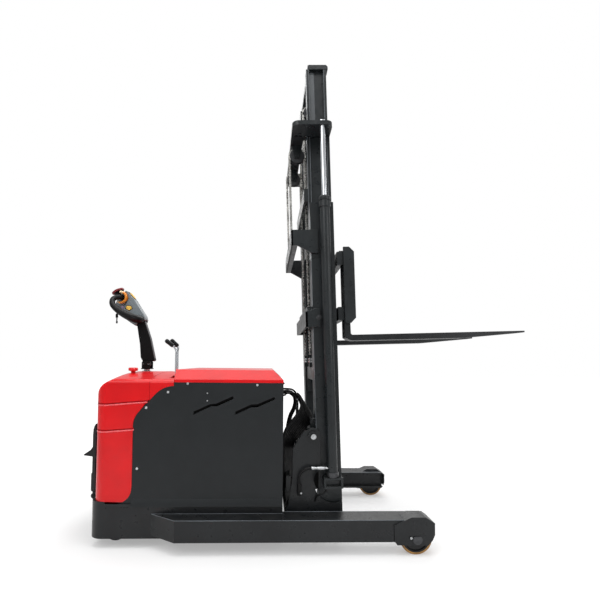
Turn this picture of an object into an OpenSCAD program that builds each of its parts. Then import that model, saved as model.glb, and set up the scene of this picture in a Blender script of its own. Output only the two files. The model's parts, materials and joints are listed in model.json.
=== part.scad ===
// Stand-on reach stacker with straddle legs and a tilting three-stage mast.
// Millimetres. +X points towards the fork tips, +Y to the left, +Z up, and the floor is z = 0.
// Sizes along x are counted from the front face of the body, and the whole is then centred on its length.
// The mast is drawn in its own frame, with u forwards and w upwards from its tilt pin.

/* [Straddle legs] */
// Half of the width over the legs
leg_outer_y = 575; // [560:1:600]
// Width of a leg's box beam
leg_box_w = 92; // [88:1:100]
// Height of a leg's top face
leg_top_z = 193; // [188:1:200]
// Height of a leg's underside
leg_bottom_z = 74; // [68:1:78]
// Distance from the body's front to the legs' ends
leg_reach = 838; // [834:1:860]
// Depth of the guide channel on a leg's inner side
channel_depth = 40; // [36:1:44]
// Thickness of the guide channel's web
channel_web = 8; // [6:1:10]
// Thickness of the guide channel's flanges
channel_flange = 12; // [10:1:14]
// Thickness of the plate outside a load wheel
wheel_plate_t = 6; // [5:1:8]
// Height that the raised housing plate stands out from a leg
housing_proud = 8; // [4:1:12]
// Distance from the body's front to where the legs start to narrow
leg_taper_back = 590; // [560:5:620]
// Distance from the body's front to the legs' rear ends
leg_back = 743; // [720:1:760]

/* [Load wheels] */
// Radius of a load wheel
load_wheel_r = 90; // [84:0.5:92]
// Width of a load wheel
load_wheel_w = 72; // [60:1:74]
// Distance from the body's front to the load wheels' axle
load_wheel_reach = 739; // [735:0.5:741]
// Thickness of a load wheel's tread
load_tread_t = 12; // [8:1:20]
// Radius of a load wheel's axle
load_axle_r = 12.5; // [10:0.5:15]

/* [Body] */
// Half of the body's width
body_half_w = 466; // [460:1:470]
// Length of the body's cover
cowl_length = 1078; // [1074:1:1082]
// Length of the skirt, which stands out behind the cover
skirt_length = 1095; // [1092:1:1098]
// Height of the skirt's lower edge
skirt_bottom_z = 55; // [45:1:60]
// Height of the skirt's upper edge
skirt_top_z = 241; // [236:1:246]
// Thickness of the skirt and the chassis walls
chassis_wall = 8; // [6:1:10]
// Radius of the body's rear corners
corner_r = 75; // [65:1:85]
// Thickness of the cover and the lid
cover_wall = 5; // [4:0.5:6]
// Thickness of the side panels
panel_t = 5; // [4:0.5:6]
// Height of the line between the side panels and the lid
hood_z = 935; // [930:1:940]
// Height of the cover's top along its middle
crown_z = 988; // [984:1:990]
// Height by which the cover's top falls from its middle to its sides
crown_drop = 38; // [30:1:44]
// Radius of the cover's upper rear edge
cowl_edge_r = 90; // [70:1:110]
// Distance from the body's front to the rear edge of the lid
lid_length = 628; // [620:1:632]
// Height of the lid's top
lid_top_z = 1008; // [1002:1:1012]
// Height of the lid's upright rim
lid_rim_h = 17; // [12:1:20]
// Width of the lid's sloped edge
lid_slope_w = 46; // [40:1:60]
// Height of the battery floor
battery_floor_z = 206; // [202:1:215]
// Length of the battery
battery_l = 740; // [700:5:750]
// Width of the battery
battery_w = 860; // [800:5:880]
// Height of the battery
battery_h = 590; // [560:5:600]

/* [Drive and steering] */
// Distance from the body's front to the steering axis
steer_back = 915; // [912:1:918]
// Radius of the drive wheel
drive_wheel_r = 125; // [120:0.5:127]
// Width of the drive wheel
drive_wheel_w = 80; // [70:1:84]
// Radius of the steering shaft
steer_shaft_r = 30; // [25:0.5:34]
// Half of the distance between the caster swivels
caster_y = 330; // [320:1:340]
// Distance from the body's front to the caster swivels
caster_back = 945; // [940:1:950]
// Radius of a caster wheel
caster_wheel_r = 65; // [60:0.5:68]
// Width of a caster wheel
caster_wheel_w = 50; // [40:1:54]
// Distance that a caster wheel trails behind its swivel
caster_trail = 34; // [28:1:38]
// Height of the tiller's swing pin
tiller_pin_z = 1035; // [1030:1:1040]
// Angle at which the parked tiller leans back
tiller_lean = 11; // [8:0.5:13]

/* [Platform] */
// Width of the platform's deck
deck_w = 600; // [560:5:640]
// Length of the platform's deck
deck_l = 405; // [390:5:420]
// Thickness of the platform's deck
deck_t = 56; // [48:1:60]
// Height of the platform's hinge
deck_hinge_z = 240; // [236:1:246]
// Length of the lip at the deck's edge that a toe lifts it by
deck_lip = 50; // [30:1:60]

/* [Reach carriage] */
// Distance that the mast moves out
reach_stroke = 500; // [460:5:502]
// Distance from the body's front to the mast's tilt pin
pivot_x = 180; // [178:0.5:184]
// Height of the mast's tilt pin
pivot_z = 622; // [618:0.5:626]
// Distance from the middle to a carriage plate's outer face
reach_plate_y = 405; // [404:0.5:408]
// Thickness of a carriage plate
reach_plate_t = 15; // [12:0.5:16]
// Radius of the tilt pin
pivot_pin_r = 17.5; // [15:0.5:20]
// Distance from the body's front to the rear guide roller
rear_roller_x = 60; // [58:1:64]
// Distance from the body's front to the front guide roller
front_roller_x = 276; // [270:1:278]
// Distance from the tilt pin down to the tilt rods
tilt_arm = 282; // [276:1:288]

/* [Mast] */
// Angle at which the parked mast leans back
mast_lean = 2; // [1.5:0.1:2.5]
// Distance from the tilt pin forwards to the rails' rear faces
rail_u = 21; // [19:0.5:24]
// Depth of the rails from rear to front
rail_depth = 144; // [140:1:146]
// Thickness of the rails' flanges
rail_flange = 18; // [15:0.5:20]
// Distance from the middle to the outer rails' outer faces
outer_rail_y = 380; // [379:0.5:381]
// Width of an outer rail
outer_rail_w = 58; // [54:0.5:60]
// Width of a middle or inner rail
inner_rail_w = 56; // [52:0.5:58]
// Thickness of the rails' webs
rail_web = 12; // [10:0.5:14]
// Gap between one mast stage and the next
stage_gap = 5; // [5:0.5:6]
// Running gap of a roller in its channel
run_gap = 0.4; // [0.3:0.1:0.8]
// Height of the outer rails' tops above the tilt pin
outer_top_w = 1410; // [1405:1:1415]
// Depth of the outer rails' feet below the tilt pin
outer_foot_w = 540; // [535:1:545]
// Length of a middle rail
mid_rail_l = 1994; // [1990:1:1996]
// Height of the middle rails' tops above the tilt pin, at rest
mid_top_w = 1835; // [1834:1:1838]
// Length of an inner rail
inner_rail_l = 2019; // [2012:1:2022]
// Height of the inner rails' tops above the tilt pin, at rest
inner_top_w = 2241; // [2240:1:2250]
// Thickness of the plate on the middle rails' tops
head_plate_t = 23; // [20:1:25]
// Half of the width of the plate on the middle rails' tops
head_plate_y = 452; // [448:1:458]
// Distance from the middle to a lift cylinder's axis
cylinder_y = 430; // [429:0.5:432]
// Distance from the tilt pin forwards to a lift cylinder's axis
cylinder_u = 105; // [100:1:108]
// Radius of a lift cylinder's barrel
barrel_r = 30; // [28:0.5:31]
// Radius of a lift cylinder's rod
lift_rod_r = 16; // [14:0.5:18]

/* [Chains] */
// Pitch of the lift chains
chain_pitch = 25.4; // [24:0.1:32]
// Height of a chain plate
chain_plate_h = 20; // [16:0.5:20]
// Width over a chain's pins
chain_w = 24; // [20:0.5:26]
// Distance from the middle to the outer pair of chains
lift_chain_y = 178; // [176:1:180]
// Distance from the middle to the inner pair of chains
fork_chain_y = 130; // [126:1:134]
// Pitch radius of the sheaves below the head plate
lift_sheave_r = 50; // [49:0.5:51]
// Pitch radius of the sheaves at the inner rails' tops
fork_sheave_r = 45; // [44:0.5:46]

/* [Forks] */
// Length of a fork from the front of its heel
fork_l = 1070; // [1000:10:1200]
// Width of a fork
fork_w = 100; // [80:1:110]
// Thickness of a fork at its heel
fork_t = 35; // [30:1:40]
// Thickness of a fork at its tip
fork_tip_t = 10; // [8:1:15]
// Half of the distance over the forks
fork_outer_y = 383; // [360:1:384]
// Height of the forks' top faces above the tilt pin, at rest
fork_top_w = 596; // [592:1:600]
// Height of the fork carriage
carriage_h = 461; // [455:1:465]

/* [Hidden] */
$fn = 64;

// Clearance of a pin in its bore
pin_fit = 0.05;
// Gap at which one piece rests on another that it can leave
seat_gap = 0.3;
// Least gap between pieces that move past each other
move_gap = 5;

// Places across the machine
leg_inner_y = leg_outer_y - leg_box_w;
channel_back_y = leg_inner_y - channel_web;
channel_tip_y = channel_back_y - channel_depth;
channel_low_z = leg_bottom_z + channel_flange;
channel_high_z = leg_top_z - channel_flange;
roller_z = (channel_low_z + channel_high_z) / 2;
guide_roller_r = (channel_high_z - channel_low_z) / 2 - run_gap;
wheel_pocket_y = leg_outer_y - wheel_plate_t;
load_wheel_y = (leg_inner_y + wheel_pocket_y) / 2;
wheel_clear = 6;

// The mast's places: the rails from outside to inside, and the rollers between their flanges
rail_front_u = rail_u + rail_depth;
roller_u = rail_u + rail_depth / 2;
mast_roller_r = rail_depth / 2 - rail_flange - run_gap;
outer_in_y = outer_rail_y - outer_rail_w;
mid_out_y = outer_in_y - stage_gap;
mid_in_y = mid_out_y - inner_rail_w;
inner_out_y = mid_in_y - stage_gap;
inner_in_y = inner_out_y - inner_rail_w;
mid_foot_w = mid_top_w - mid_rail_l;
inner_foot_w = inner_top_w - inner_rail_l;
// Distance of a middle or inner rail's web from the rail's outer face
web_out = (inner_rail_w - rail_web) / 2;

// The forks in the mast's frame
bar_u = rail_front_u + 10;
shank_u = bar_u + 38;
heel_u = shank_u + fork_t;
tip_u = heel_u + fork_l;
carriage_low_w = fork_top_w + 70;
carriage_top_w = carriage_low_w + carriage_h;

// The platform's places
deck_hinge_x = -skirt_length - 40;
deck_inner_x = deck_hinge_x + 14;
deck_outer_x = deck_inner_x - deck_t;
lip_x = deck_outer_x - deck_lip;

// The whole length runs from the deck's lip to the forks' tips
tip_x = pivot_x + tip_u * cos(mast_lean) - (fork_top_w - fork_tip_t) * sin(mast_lean);
origin_x = -(tip_x + lip_x) / 2;

body_color = [0.80, 0.06, 0.08];
black = [0.10, 0.105, 0.11];
mast_color = [0.16, 0.17, 0.18];
steel = [0.72, 0.73, 0.75];

// Frames and simple solids

module machine() {
  translate([origin_x, 0, 0]) children();
}

module mast() {
  machine() translate([pivot_x, 0, pivot_z]) rotate([0, -mast_lean, 0]) children();
}

module both() {
  children();
  mirror([0, 1, 0]) children();
}

// Left or right copy of something drawn on the left
module side(s) {
  if (s > 0) {
    children();
  } else {
    mirror([0, 1, 0]) children();
  }
}

module block(x, y, z) {
  translate([x[0], y[0], z[0]]) cube([x[1] - x[0], y[1] - y[0], z[1] - z[0]]);
}

module rod_y(x, z, r, y) {
  translate([x, y[0], z]) rotate([-90, 0, 0]) cylinder(r = r, h = y[1] - y[0]);
}

module rod_x(y, z, r, x) {
  translate([x[0], y, z]) rotate([0, 90, 0]) cylinder(r = r, h = x[1] - x[0]);
}

module rod_z(x, y, r, z) {
  translate([x, y, z[0]]) cylinder(r = r, h = z[1] - z[0]);
}

// A profile drawn in x and z, as thick as the range of y
module across(y) {
  translate([0, y[1], 0]) rotate([90, 0, 0]) linear_extrude(y[1] - y[0]) children();
}

// A profile drawn in y and z, as long as the range of x
module along(x) {
  translate([x[0], 0, 0]) rotate([90, 0, 90]) linear_extrude(x[1] - x[0]) children();
}

module upright(z) {
  translate([0, 0, z[0]]) linear_extrude(z[1] - z[0]) children();
}

// Points of a curve from a to b that is drawn towards c
function bend(a, c, b, n = 6) =
  [for (i = [0 : n]) let (t = i / n) a * (1 - t) * (1 - t) + c * 2 * t * (1 - t) + b * t * t];

// Points of an arc about c, from one angle to another
function arc(c, r, a0, a1, n = 10) =
  [for (i = [0 : n]) let (a = a0 + (a1 - a0) * i / n) [c[0] + r * cos(a), c[1] + r * sin(a)]];

// Plan with two rounded rear corners
module round_plan(x0, x1, half_w, r) {
  translate([x0 + r, -half_w]) square([x1 - x0 - r, 2 * half_w]);
  translate([x0, r - half_w]) square([x1 - x0, 2 * (half_w - r)]);
  for (s = [-1, 1]) {
    translate([x0 + r, s * (half_w - r)]) circle(r = r);
  }
}

// Hoses: a tube swept through a smooth curve by the listed points

function curve_point(p, i, t) =
  let (
    n = len(p) - 1,
    a = p[max(i - 1, 0)],
    b = p[i],
    c = p[min(i + 1, n)],
    d = p[min(i + 2, n)]
  )
  0.5 * (2 * b + (c - a) * t + (2 * a - 5 * b + 4 * c - d) * t * t + (3 * b - a - 3 * c + d) * t * t * t);

function smooth_path(p, steps) =
  concat([for (i = [0 : len(p) - 2], k = [0 : steps - 1]) curve_point(p, i, k / steps)], [p[len(p) - 1]]);

function unit(v) = v / norm(v);

module tube(points, r, steps = 3, sides = 8) {
  path = smooth_path(points, steps);
  last = len(path) - 1;
  rings = [
    for (i = [0 : last])
      let (
        t = unit(path[min(i + 1, last)] - path[max(i - 1, 0)]),
        b = unit(cross(t, [0.05, 1, 0.02])),
        n = cross(b, t)
      )
      for (k = [0 : sides - 1])
        let (a = 360 * k / sides) path[i] + r * (n * cos(a) + b * sin(a))
  ];
  walls = [
    for (i = [0 : last - 1], k = [0 : sides - 1])
      let (m = (k + 1) % sides)
      [i * sides + k, i * sides + m, (i + 1) * sides + m, (i + 1) * sides + k]
  ];
  start = [for (k = [sides - 1 : -1 : 0]) k];
  end = [for (k = [0 : sides - 1]) last * sides + k];
  polyhedron(rings, concat(walls, [start, end]));
}

// Straddle legs

// Side outline of the housing about a load wheel, from its columns x and z
housing_outline = [
  [611, leg_top_z - 27], [706, leg_top_z + 17], [786, leg_top_z + 17], [leg_reach - 1, leg_top_z - 15],
  [leg_reach - 1, 115], [leg_reach - 14, 85], [799, leg_bottom_z - 16], [628, leg_bottom_z - 14], [615, 77]
];

module leg(s) {
  color(black) machine() side(s) difference() {
    union() {
      upright([leg_bottom_z, leg_top_z]) polygon([
        [-leg_back, body_half_w], [-leg_taper_back, leg_outer_y], [700, leg_outer_y], [700, channel_tip_y],
        [0, channel_tip_y], [0, body_half_w]
      ]);
      across([channel_tip_y, leg_outer_y]) polygon(housing_outline);
      across([leg_outer_y, leg_outer_y + housing_proud]) polygon(housing_outline);
    }
    // The guide channel, closed by a stop at its front end
    block([-1, leg_reach - 10], [channel_tip_y - 1, channel_back_y], [channel_low_z, channel_high_z]);
    // The inner side below and above the channel keeps its flanges only
    block([600, leg_reach + 1], [channel_tip_y - 1, channel_back_y], [leg_top_z, leg_top_z + 40]);
    block([600, leg_reach + 1], [channel_tip_y - 1, channel_back_y], [0, leg_bottom_z]);
    // The load wheel's pocket, open below and at the front
    rod_y(load_wheel_reach, load_wheel_r, load_wheel_r + wheel_clear, [leg_inner_y, wheel_pocket_y]);
    block(
      [load_wheel_reach - load_wheel_r - wheel_clear, load_wheel_reach + load_wheel_r + wheel_clear],
      [leg_inner_y, wheel_pocket_y], [0, load_wheel_r]
    );
    rod_y(load_wheel_reach, load_wheel_r, load_axle_r + pin_fit, [leg_inner_y - 4, leg_outer_y + 50]);
  }
}

module leg_right() { leg(-1); }
module leg_left() { leg(1); }

module load_axles() {
  color(steel) machine() both() {
    rod_y(load_wheel_reach, load_wheel_r, load_axle_r, [leg_inner_y - 4, leg_outer_y + housing_proud + 4]);
    difference() {
      rod_y(
        load_wheel_reach, load_wheel_r, 26,
        [leg_outer_y + housing_proud, leg_outer_y + housing_proud + 6]
      );
      block(
        [load_wheel_reach - 40, load_wheel_reach + 40],
        [leg_outer_y + housing_proud - 1, leg_outer_y + housing_proud + 7],
        [load_wheel_r + 18, load_wheel_r + 40]
      );
    }
  }
}

module load_tread(s) {
  color([0.69, 0.50, 0.24]) machine() side(s) {
    translate([load_wheel_reach, load_wheel_y, load_wheel_r]) rotate([90, 0, 0]) rotate_extrude()
      polygon([
        [load_wheel_r - load_tread_t, -load_wheel_w / 2], [load_wheel_r - 3, -load_wheel_w / 2],
        [load_wheel_r, 3 - load_wheel_w / 2], [load_wheel_r, load_wheel_w / 2 - 3],
        [load_wheel_r - 3, load_wheel_w / 2], [load_wheel_r - load_tread_t, load_wheel_w / 2]
      ]);
  }
}

module load_hub(s) {
  hub_r = load_wheel_r - load_tread_t;
  color(black) machine() side(s) {
    translate([load_wheel_reach, load_wheel_y, load_wheel_r]) rotate([90, 0, 0]) rotate_extrude()
      polygon([
        [load_axle_r + pin_fit, -load_wheel_w / 2], [load_axle_r + 16, -load_wheel_w / 2],
        [load_axle_r + 20, 8 - load_wheel_w / 2], [hub_r - 12, 8 - load_wheel_w / 2],
        [hub_r - 8, 1 - load_wheel_w / 2], [hub_r, 1 - load_wheel_w / 2],
        [hub_r, load_wheel_w / 2 - 1], [hub_r - 8, load_wheel_w / 2 - 1],
        [hub_r - 12, load_wheel_w / 2 - 8], [load_axle_r + 20, load_wheel_w / 2 - 8],
        [load_axle_r + 16, load_wheel_w / 2], [load_axle_r + pin_fit, load_wheel_w / 2]
      ]);
  }
}

module load_tread_right() { load_tread(-1); }
module load_tread_left() { load_tread(1); }
module load_hub_right() { load_hub(-1); }
module load_hub_left() { load_hub(1); }

// Chassis and body

steer_x = -steer_back;
caster_x = -caster_back;
bay_top_z = 292;
// The bay's front wall stands clear of the drive wheel at full lock
bay_front_x = norm([drive_wheel_r, drive_wheel_w / 2]) - steer_back + move_gap + 6 + chassis_wall;
reach_cylinder_z = 150;
reach_barrel_r = 35;
reach_rod_r = 17.5;
bulkhead_t = 10;
hose_r = 6;
// Hose holes in the body's front: y, z and radius
hose_ports = [[-70, 880, 10], [-110, 845, 10], [60, 830, 26]];
lid_hinge_x = 6;
lid_hinge_z = hood_z - 7;
lid_hinge_r = 6;
// Middles of the lid's hinges
lid_hinge_y = [-300, 300];

module chassis_frame() {
  color(black) machine() difference() {
    union() {
      // Skirt
      upright([skirt_bottom_z, skirt_top_z]) difference() {
        round_plan(-skirt_length, 0, body_half_w, corner_r);
        round_plan(chassis_wall - skirt_length, -bulkhead_t, body_half_w - chassis_wall, corner_r - chassis_wall);
      }
      // Bay over the drive wheel and the casters, which rises inside the cover
      upright([skirt_top_z - 12, bay_top_z]) difference() {
        round_plan(28 - skirt_length, bay_front_x, body_half_w - 10, corner_r - 10);
        round_plan(36 - skirt_length, bay_front_x - 8, body_half_w - 18, corner_r - 18);
      }
      upright([bay_top_z - 12, bay_top_z])
        round_plan(28 - skirt_length, bay_front_x, body_half_w - 10, corner_r - 10);
      upright([skirt_top_z - 12, skirt_top_z]) difference() {
        round_plan(4 - skirt_length, bay_front_x, body_half_w - 4, corner_r - 4);
        round_plan(30 - skirt_length, bay_front_x - 8, body_half_w - 12, corner_r - 12);
      }
      // Wall between the drive bay and the battery
      block(
        [bay_front_x - chassis_wall, bay_front_x],
        [panel_t + 1 - body_half_w, body_half_w - panel_t - 1], [skirt_bottom_z, bay_top_z]
      );
      // Battery floor
      block(
        [bay_front_x - 4, -4], [4 - body_half_w, body_half_w - 4], [battery_floor_z - 10, battery_floor_z]
      );
      // Front wall
      block([-bulkhead_t, 0], [panel_t - body_half_w, body_half_w - panel_t], [skirt_bottom_z, hood_z - 7]);
      // Steering bearing
      rod_z(steer_x, 0, steer_shaft_r + 25, [bay_top_z - 20, bay_top_z + 34]);
      // Caster mounts
      both() block(
        [caster_x - 48, caster_x + 48], [caster_y - 48, caster_y + 48],
        [2 * caster_wheel_r + 50, bay_top_z - 8]
      );
      // Reach cylinder's rear mount
      block([-660, -636], [-45, 45], [reach_cylinder_z - 40, battery_floor_z - 5]);
      // Platform's hinge ears
      both() across([deck_w / 2 - 24, deck_w / 2 - 10]) difference() {
        polygon(concat(
          [[-skirt_length + 4, deck_hinge_z - 60], [-skirt_length + 4, skirt_top_z]],
          arc([deck_hinge_x, deck_hinge_z], 18, 90, 225, 8)
        ));
        translate([deck_hinge_x, deck_hinge_z]) circle(r = 8 + pin_fit);
      }
      // Fixed knuckles of the lid's hinge
      for (y = lid_hinge_y, k = [-1, 1]) {
        rod_y(lid_hinge_x, lid_hinge_z, lid_hinge_r, [y + k * 24 - 10, y + k * 24 + 10]);
        block([-2, lid_hinge_x], [y + k * 24 - 10, y + k * 24 + 10], [lid_hinge_z - lid_hinge_r, lid_hinge_z]);
      }
      for (y = lid_hinge_y) {
        rod_y(lid_hinge_x, lid_hinge_z, 2.5, [y - 20, y + 20]);
      }
    }
    rod_z(steer_x, 0, steer_shaft_r + pin_fit, [skirt_top_z, bay_top_z + 60]);
    both() rod_z(caster_x, caster_y, 12 + pin_fit, [2 * caster_wheel_r, 2 * caster_wheel_r + 90]);
    rod_x(0, reach_cylinder_z, reach_barrel_r + pin_fit, [-640, 5]);
    for (p = hose_ports) {
      rod_x(p[0], p[1], p[2], [-20, 5]);
    }
  }
}

// Edge between the black side panel and the red cover, in x and z from the lid's corner down to the skirt
panel_edge = concat(
  [[-lid_length, hood_z]],
  bend([-lid_length, hood_z - 20], [-692, hood_z - 21], [-738, hood_z - 74]),
  bend([-822, hood_z - 166], [-855, hood_z - 202], [-855, hood_z - 246]),
  bend([-855, skirt_top_z + 111], [-855, skirt_top_z + 1], [-959, skirt_top_z + 1])
);

// Two slots shaped like a lightning flash: corners in x and z
slot_corners = [
  [[-515, 762], [-414, 810], [-381, 810], [-288, 853]],
  [[-276, 762], [-183, 805], [-151, 805], [-49, 851]]
];
slot_h = 10;

module side_panel(s) {
  color(black) machine() side(s) across([body_half_w - panel_t, body_half_w]) difference() {
    polygon(concat(panel_edge, [[0, skirt_top_z + 1], [0, hood_z]]));
    for (p = slot_corners) {
      polygon(concat(p, [for (i = [3 : -1 : 0]) p[i] - [0, slot_h]]));
    }
  }
}

module side_panel_right() { side_panel(-1); }
module side_panel_left() { side_panel(1); }

crown_r = (body_half_w * body_half_w + crown_drop * crown_drop) / (2 * crown_drop);
shoulder_r = 28;
// Heights of the grooves round the cover
cowl_grooves = [822, 668];
cowl_bottom_z = skirt_top_z + 1;

// The cover's outer form, drawn in by an inset
module cowl_form(inset, front_x, bottom_z) {
  half_w = body_half_w - inset;
  top_z = crown_z - inset;
  shoulder_z = top_z - (half_w - shoulder_r) * (half_w - shoulder_r) / (2 * crown_r) - shoulder_r;
  intersection() {
    upright([bottom_z, top_z + 20]) round_plan(inset - cowl_length, front_x, half_w, corner_r - inset);
    across([-500, 500]) {
      translate([inset - cowl_length, bottom_z - 1])
        square([front_x + cowl_length - inset, top_z - cowl_edge_r - bottom_z + 1]);
      translate([inset - cowl_length + cowl_edge_r, bottom_z - 1])
        square([front_x + cowl_length - inset - cowl_edge_r, top_z + 20 - bottom_z]);
      translate([inset - cowl_length + cowl_edge_r, top_z - cowl_edge_r]) circle(r = cowl_edge_r);
    }
    along([-1200, 100]) intersection() {
      union() {
        translate([-half_w, bottom_z - 1]) square([2 * half_w, shoulder_z - bottom_z + 1]);
        translate([shoulder_r - half_w, bottom_z - 1])
          square([2 * (half_w - shoulder_r), top_z + 20 - bottom_z]);
        for (s = [-1, 1]) {
          translate([s * (half_w - shoulder_r), shoulder_z]) circle(r = shoulder_r);
        }
      }
      translate([0, top_z - crown_r]) circle(r = crown_r);
    }
  }
}

lever_x = -637;
// Distances of the two levers from the middle, on the right
lever_y = [380, 340];
niche_x = [-664, -lid_length + 1];
niche_y = [-404, -316];
niche_z = 912;
button_x = -944;
button_y = -200;

module rear_cowl() {
  color(body_color) machine() difference() {
    union() {
      difference() {
        cowl_form(0, -lid_length, cowl_bottom_z);
        cowl_form(cover_wall, 1 - lid_length, cowl_bottom_z - 1);
      }
      // Pocket that the levers stand in
      block([niche_x[0] - 4, niche_x[1] - 1], [niche_y[0] - 4, niche_y[1] + 4], [niche_z - 4, 960]);
    }
    block(niche_x, niche_y, [niche_z, 1010]);
    // The side panels' places
    for (s = [-1, 1]) {
      side(s) across([body_half_w - 30, body_half_w + 10]) polygon(concat(
        [for (p = panel_edge) p - [1, 0]], [[10, skirt_top_z], [10, hood_z + 1]]
      ));
    }
    // Grooves
    for (z = cowl_grooves) {
      difference() {
        block([-1200, 0], [-500, 500], [z - 4, z + 4]);
        cowl_form(2.5, 1 - lid_length, cowl_bottom_z - 1);
      }
    }
    // Openings for the steering column and the emergency button
    rod_z(steer_x, 0, steer_shaft_r + 6, [900, 1020]);
    rod_z(button_x, button_y, 20, [900, 1020]);
    for (y = lever_y) {
      rod_z(lever_x, -y, lever_r + pin_fit, [niche_z - 10, niche_z + 2]);
    }
  }
}

// The lid's outer form, drawn in by an inset: an upright rim, then sloped edges up to a flat top
module lid_form(inset) {
  half_w = body_half_w - inset;
  rim_z = hood_z + lid_rim_h;
  top_z = lid_top_z - inset;
  flat_w = half_w - lid_slope_w;
  intersection() {
    along([inset - lid_length, -inset]) polygon([
      [-half_w, hood_z - inset], [half_w, hood_z - inset], [half_w, rim_z], [flat_w, top_z], [-flat_w, top_z],
      [-half_w, rim_z]
    ]);
    across([-500, 500]) polygon([
      [-lid_length, hood_z - 10], [-inset, hood_z - 10], [-inset, rim_z], [-inset - 60, top_z],
      [-lid_length, top_z]
    ]);
  }
}

module hood_lid() {
  color(body_color) machine() {
    difference() {
      translate([0, 0, 1]) lid_form(0);
      translate([0, 0, 1]) lid_form(cover_wall);
      // The rear end stays open above the cover's edge
      block([-lid_length + 40, -10], [-body_half_w + 10, body_half_w - 10], [hood_z - 20, hood_z + 10]);
    }
    // Moving knuckles of the hinge
    for (y = lid_hinge_y) {
      difference() {
        union() {
          rod_y(lid_hinge_x, lid_hinge_z, lid_hinge_r, [y - 13, y + 13]);
          block([0, lid_hinge_x], [y - 13, y + 13], [lid_hinge_z, hood_z + 14]);
        }
        rod_y(lid_hinge_x, lid_hinge_z, 2.5 + 0.1, [y - 20, y + 20]);
      }
    }
  }
}

module battery() {
  color([0.2, 0.2, 0.22]) machine() block(
    [-battery_l - 20, -20], [-battery_w / 2, battery_w / 2], [battery_floor_z, battery_floor_z + battery_h]
  );
}

module reach_barrel() {
  color(black) machine() difference() {
    rod_x(0, reach_cylinder_z, reach_barrel_r, [-640, 0]);
    rod_x(0, reach_cylinder_z, reach_rod_r + pin_fit, [-620, 10]);
  }
}

module emergency_button() {
  top_z = lid_top_z + 7;
  color("red") machine() {
    rod_z(button_x, button_y, 20, [crown_z - 32, crown_z - 2]);
    rod_z(button_x, button_y, 26, [crown_z - 2, crown_z + 2]);
    rod_z(button_x, button_y, 13, [crown_z + 2, top_z - 21]);
    translate([button_x, button_y, 0]) rotate_extrude() polygon(concat(
      [[0, top_z - 21], [22, top_z - 21], [31, top_z - 13]], arc([0, top_z - 70], 70, 64, 90, 6)
    ));
  }
}

lever_top_z = 1141;
lever_r = 6.5;
lever_grip_r = 9;

module hydraulic_levers() {
  color(steel) machine() for (y = lever_y) {
    rod_z(lever_x, -y, lever_r, [niche_z - 10, lever_top_z - 14]);
    translate([lever_x, -y, lever_top_z - 14]) rotate([0, -54, 0])
      translate([0, 0, -8]) cylinder(r = lever_grip_r, h = 62);
  }
}

// Steering, drive wheel and tiller

drive_axle_r = 15;
fork_head_z = bay_top_z - 30;

module steering_column() {
  color(steel) machine() {
    rod_z(steer_x, 0, steer_shaft_r, [fork_head_z, crown_z + 3]);
    rod_z(steer_x, 0, 46, [crown_z + 3, crown_z + 12]);
    both() across([26, 36]) difference() {
      union() {
        translate([steer_x + 3, tiller_pin_z]) circle(r = 30);
        translate([steer_x - 27, crown_z + 12]) square([60, tiller_pin_z - crown_z - 12]);
      }
      translate([steer_x + 3, tiller_pin_z]) circle(r = 8 + pin_fit);
    }
  }
}

module drive_fork() {
  color(black) machine() {
    both() difference() {
      union() {
        block([steer_x - 55, steer_x + 55], [drive_wheel_w / 2 + 6, drive_wheel_w / 2 + 18],
          [drive_wheel_r - 30, fork_head_z]);
      }
      rod_y(steer_x, drive_wheel_r, drive_axle_r, [0, 100]);
    }
    block([steer_x - 55, steer_x + 55], [-drive_wheel_w / 2 - 18, drive_wheel_w / 2 + 18],
      [fork_head_z - 8, fork_head_z]);
    rod_y(steer_x, drive_wheel_r, drive_axle_r, [-drive_wheel_w / 2 - 22, drive_wheel_w / 2 + 22]);
  }
}

// A wheel about the y axis at the origin: tread, rim step and bore
module plain_wheel(r, w, bore_r) {
  rotate([90, 0, 0]) rotate_extrude() polygon([
    [bore_r, -w / 2], [bore_r + 14, -w / 2], [bore_r + 18, 7 - w / 2], [r * 0.7, 7 - w / 2],
    [r * 0.74, -w / 2], [r - 4, -w / 2], [r, 4 - w / 2], [r, w / 2 - 4], [r - 4, w / 2], [r * 0.74, w / 2],
    [r * 0.7, w / 2 - 7], [bore_r + 18, w / 2 - 7], [bore_r + 14, w / 2], [bore_r, w / 2]
  ]);
}

module drive_wheel() {
  color([0.69, 0.50, 0.24]) machine() translate([steer_x, 0, drive_wheel_r])
    plain_wheel(drive_wheel_r, drive_wheel_w, drive_axle_r + pin_fit);
}

module tiller() {
  machine() translate([steer_x + 3, 0, tiller_pin_z]) rotate([0, -tiller_lean, 0]) children();
}

module tiller_arm() {
  color(black) tiller() {
    difference() {
      across([-25, 25]) {
        circle(r = 26);
        translate([-26, 0]) square([52, 60]);
      }
      rod_y(0, 0, 8, [-30, 30]);
    }
    rod_y(0, 0, 8, [-40, 40]);
  }
  // The arm's shaft ends against the head
  color(black) difference() {
    tiller() across([-31, 31]) polygon([[-52, 42], [52, 42], [46, 70], [31, 302], [-31, 302], [-46, 70]]);
    machine() across([-62, 62]) polygon(head_outline);
  }
}

// The head's side outline in the machine's x and z, rear first
head_outline = [
  [-1085, 1528], [-1058, 1530], [-1001, 1479], [-940, 1361], [-931, 1331], [-992, 1290], [-1040, 1318],
  [-1133, 1392], [-1160, 1440], [-1150, 1480]
];

module tiller_head() {
  color([0.35, 0.38, 0.4]) machine() across([-60, 60]) polygon(head_outline);
}

grip_r = 14;

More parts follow.
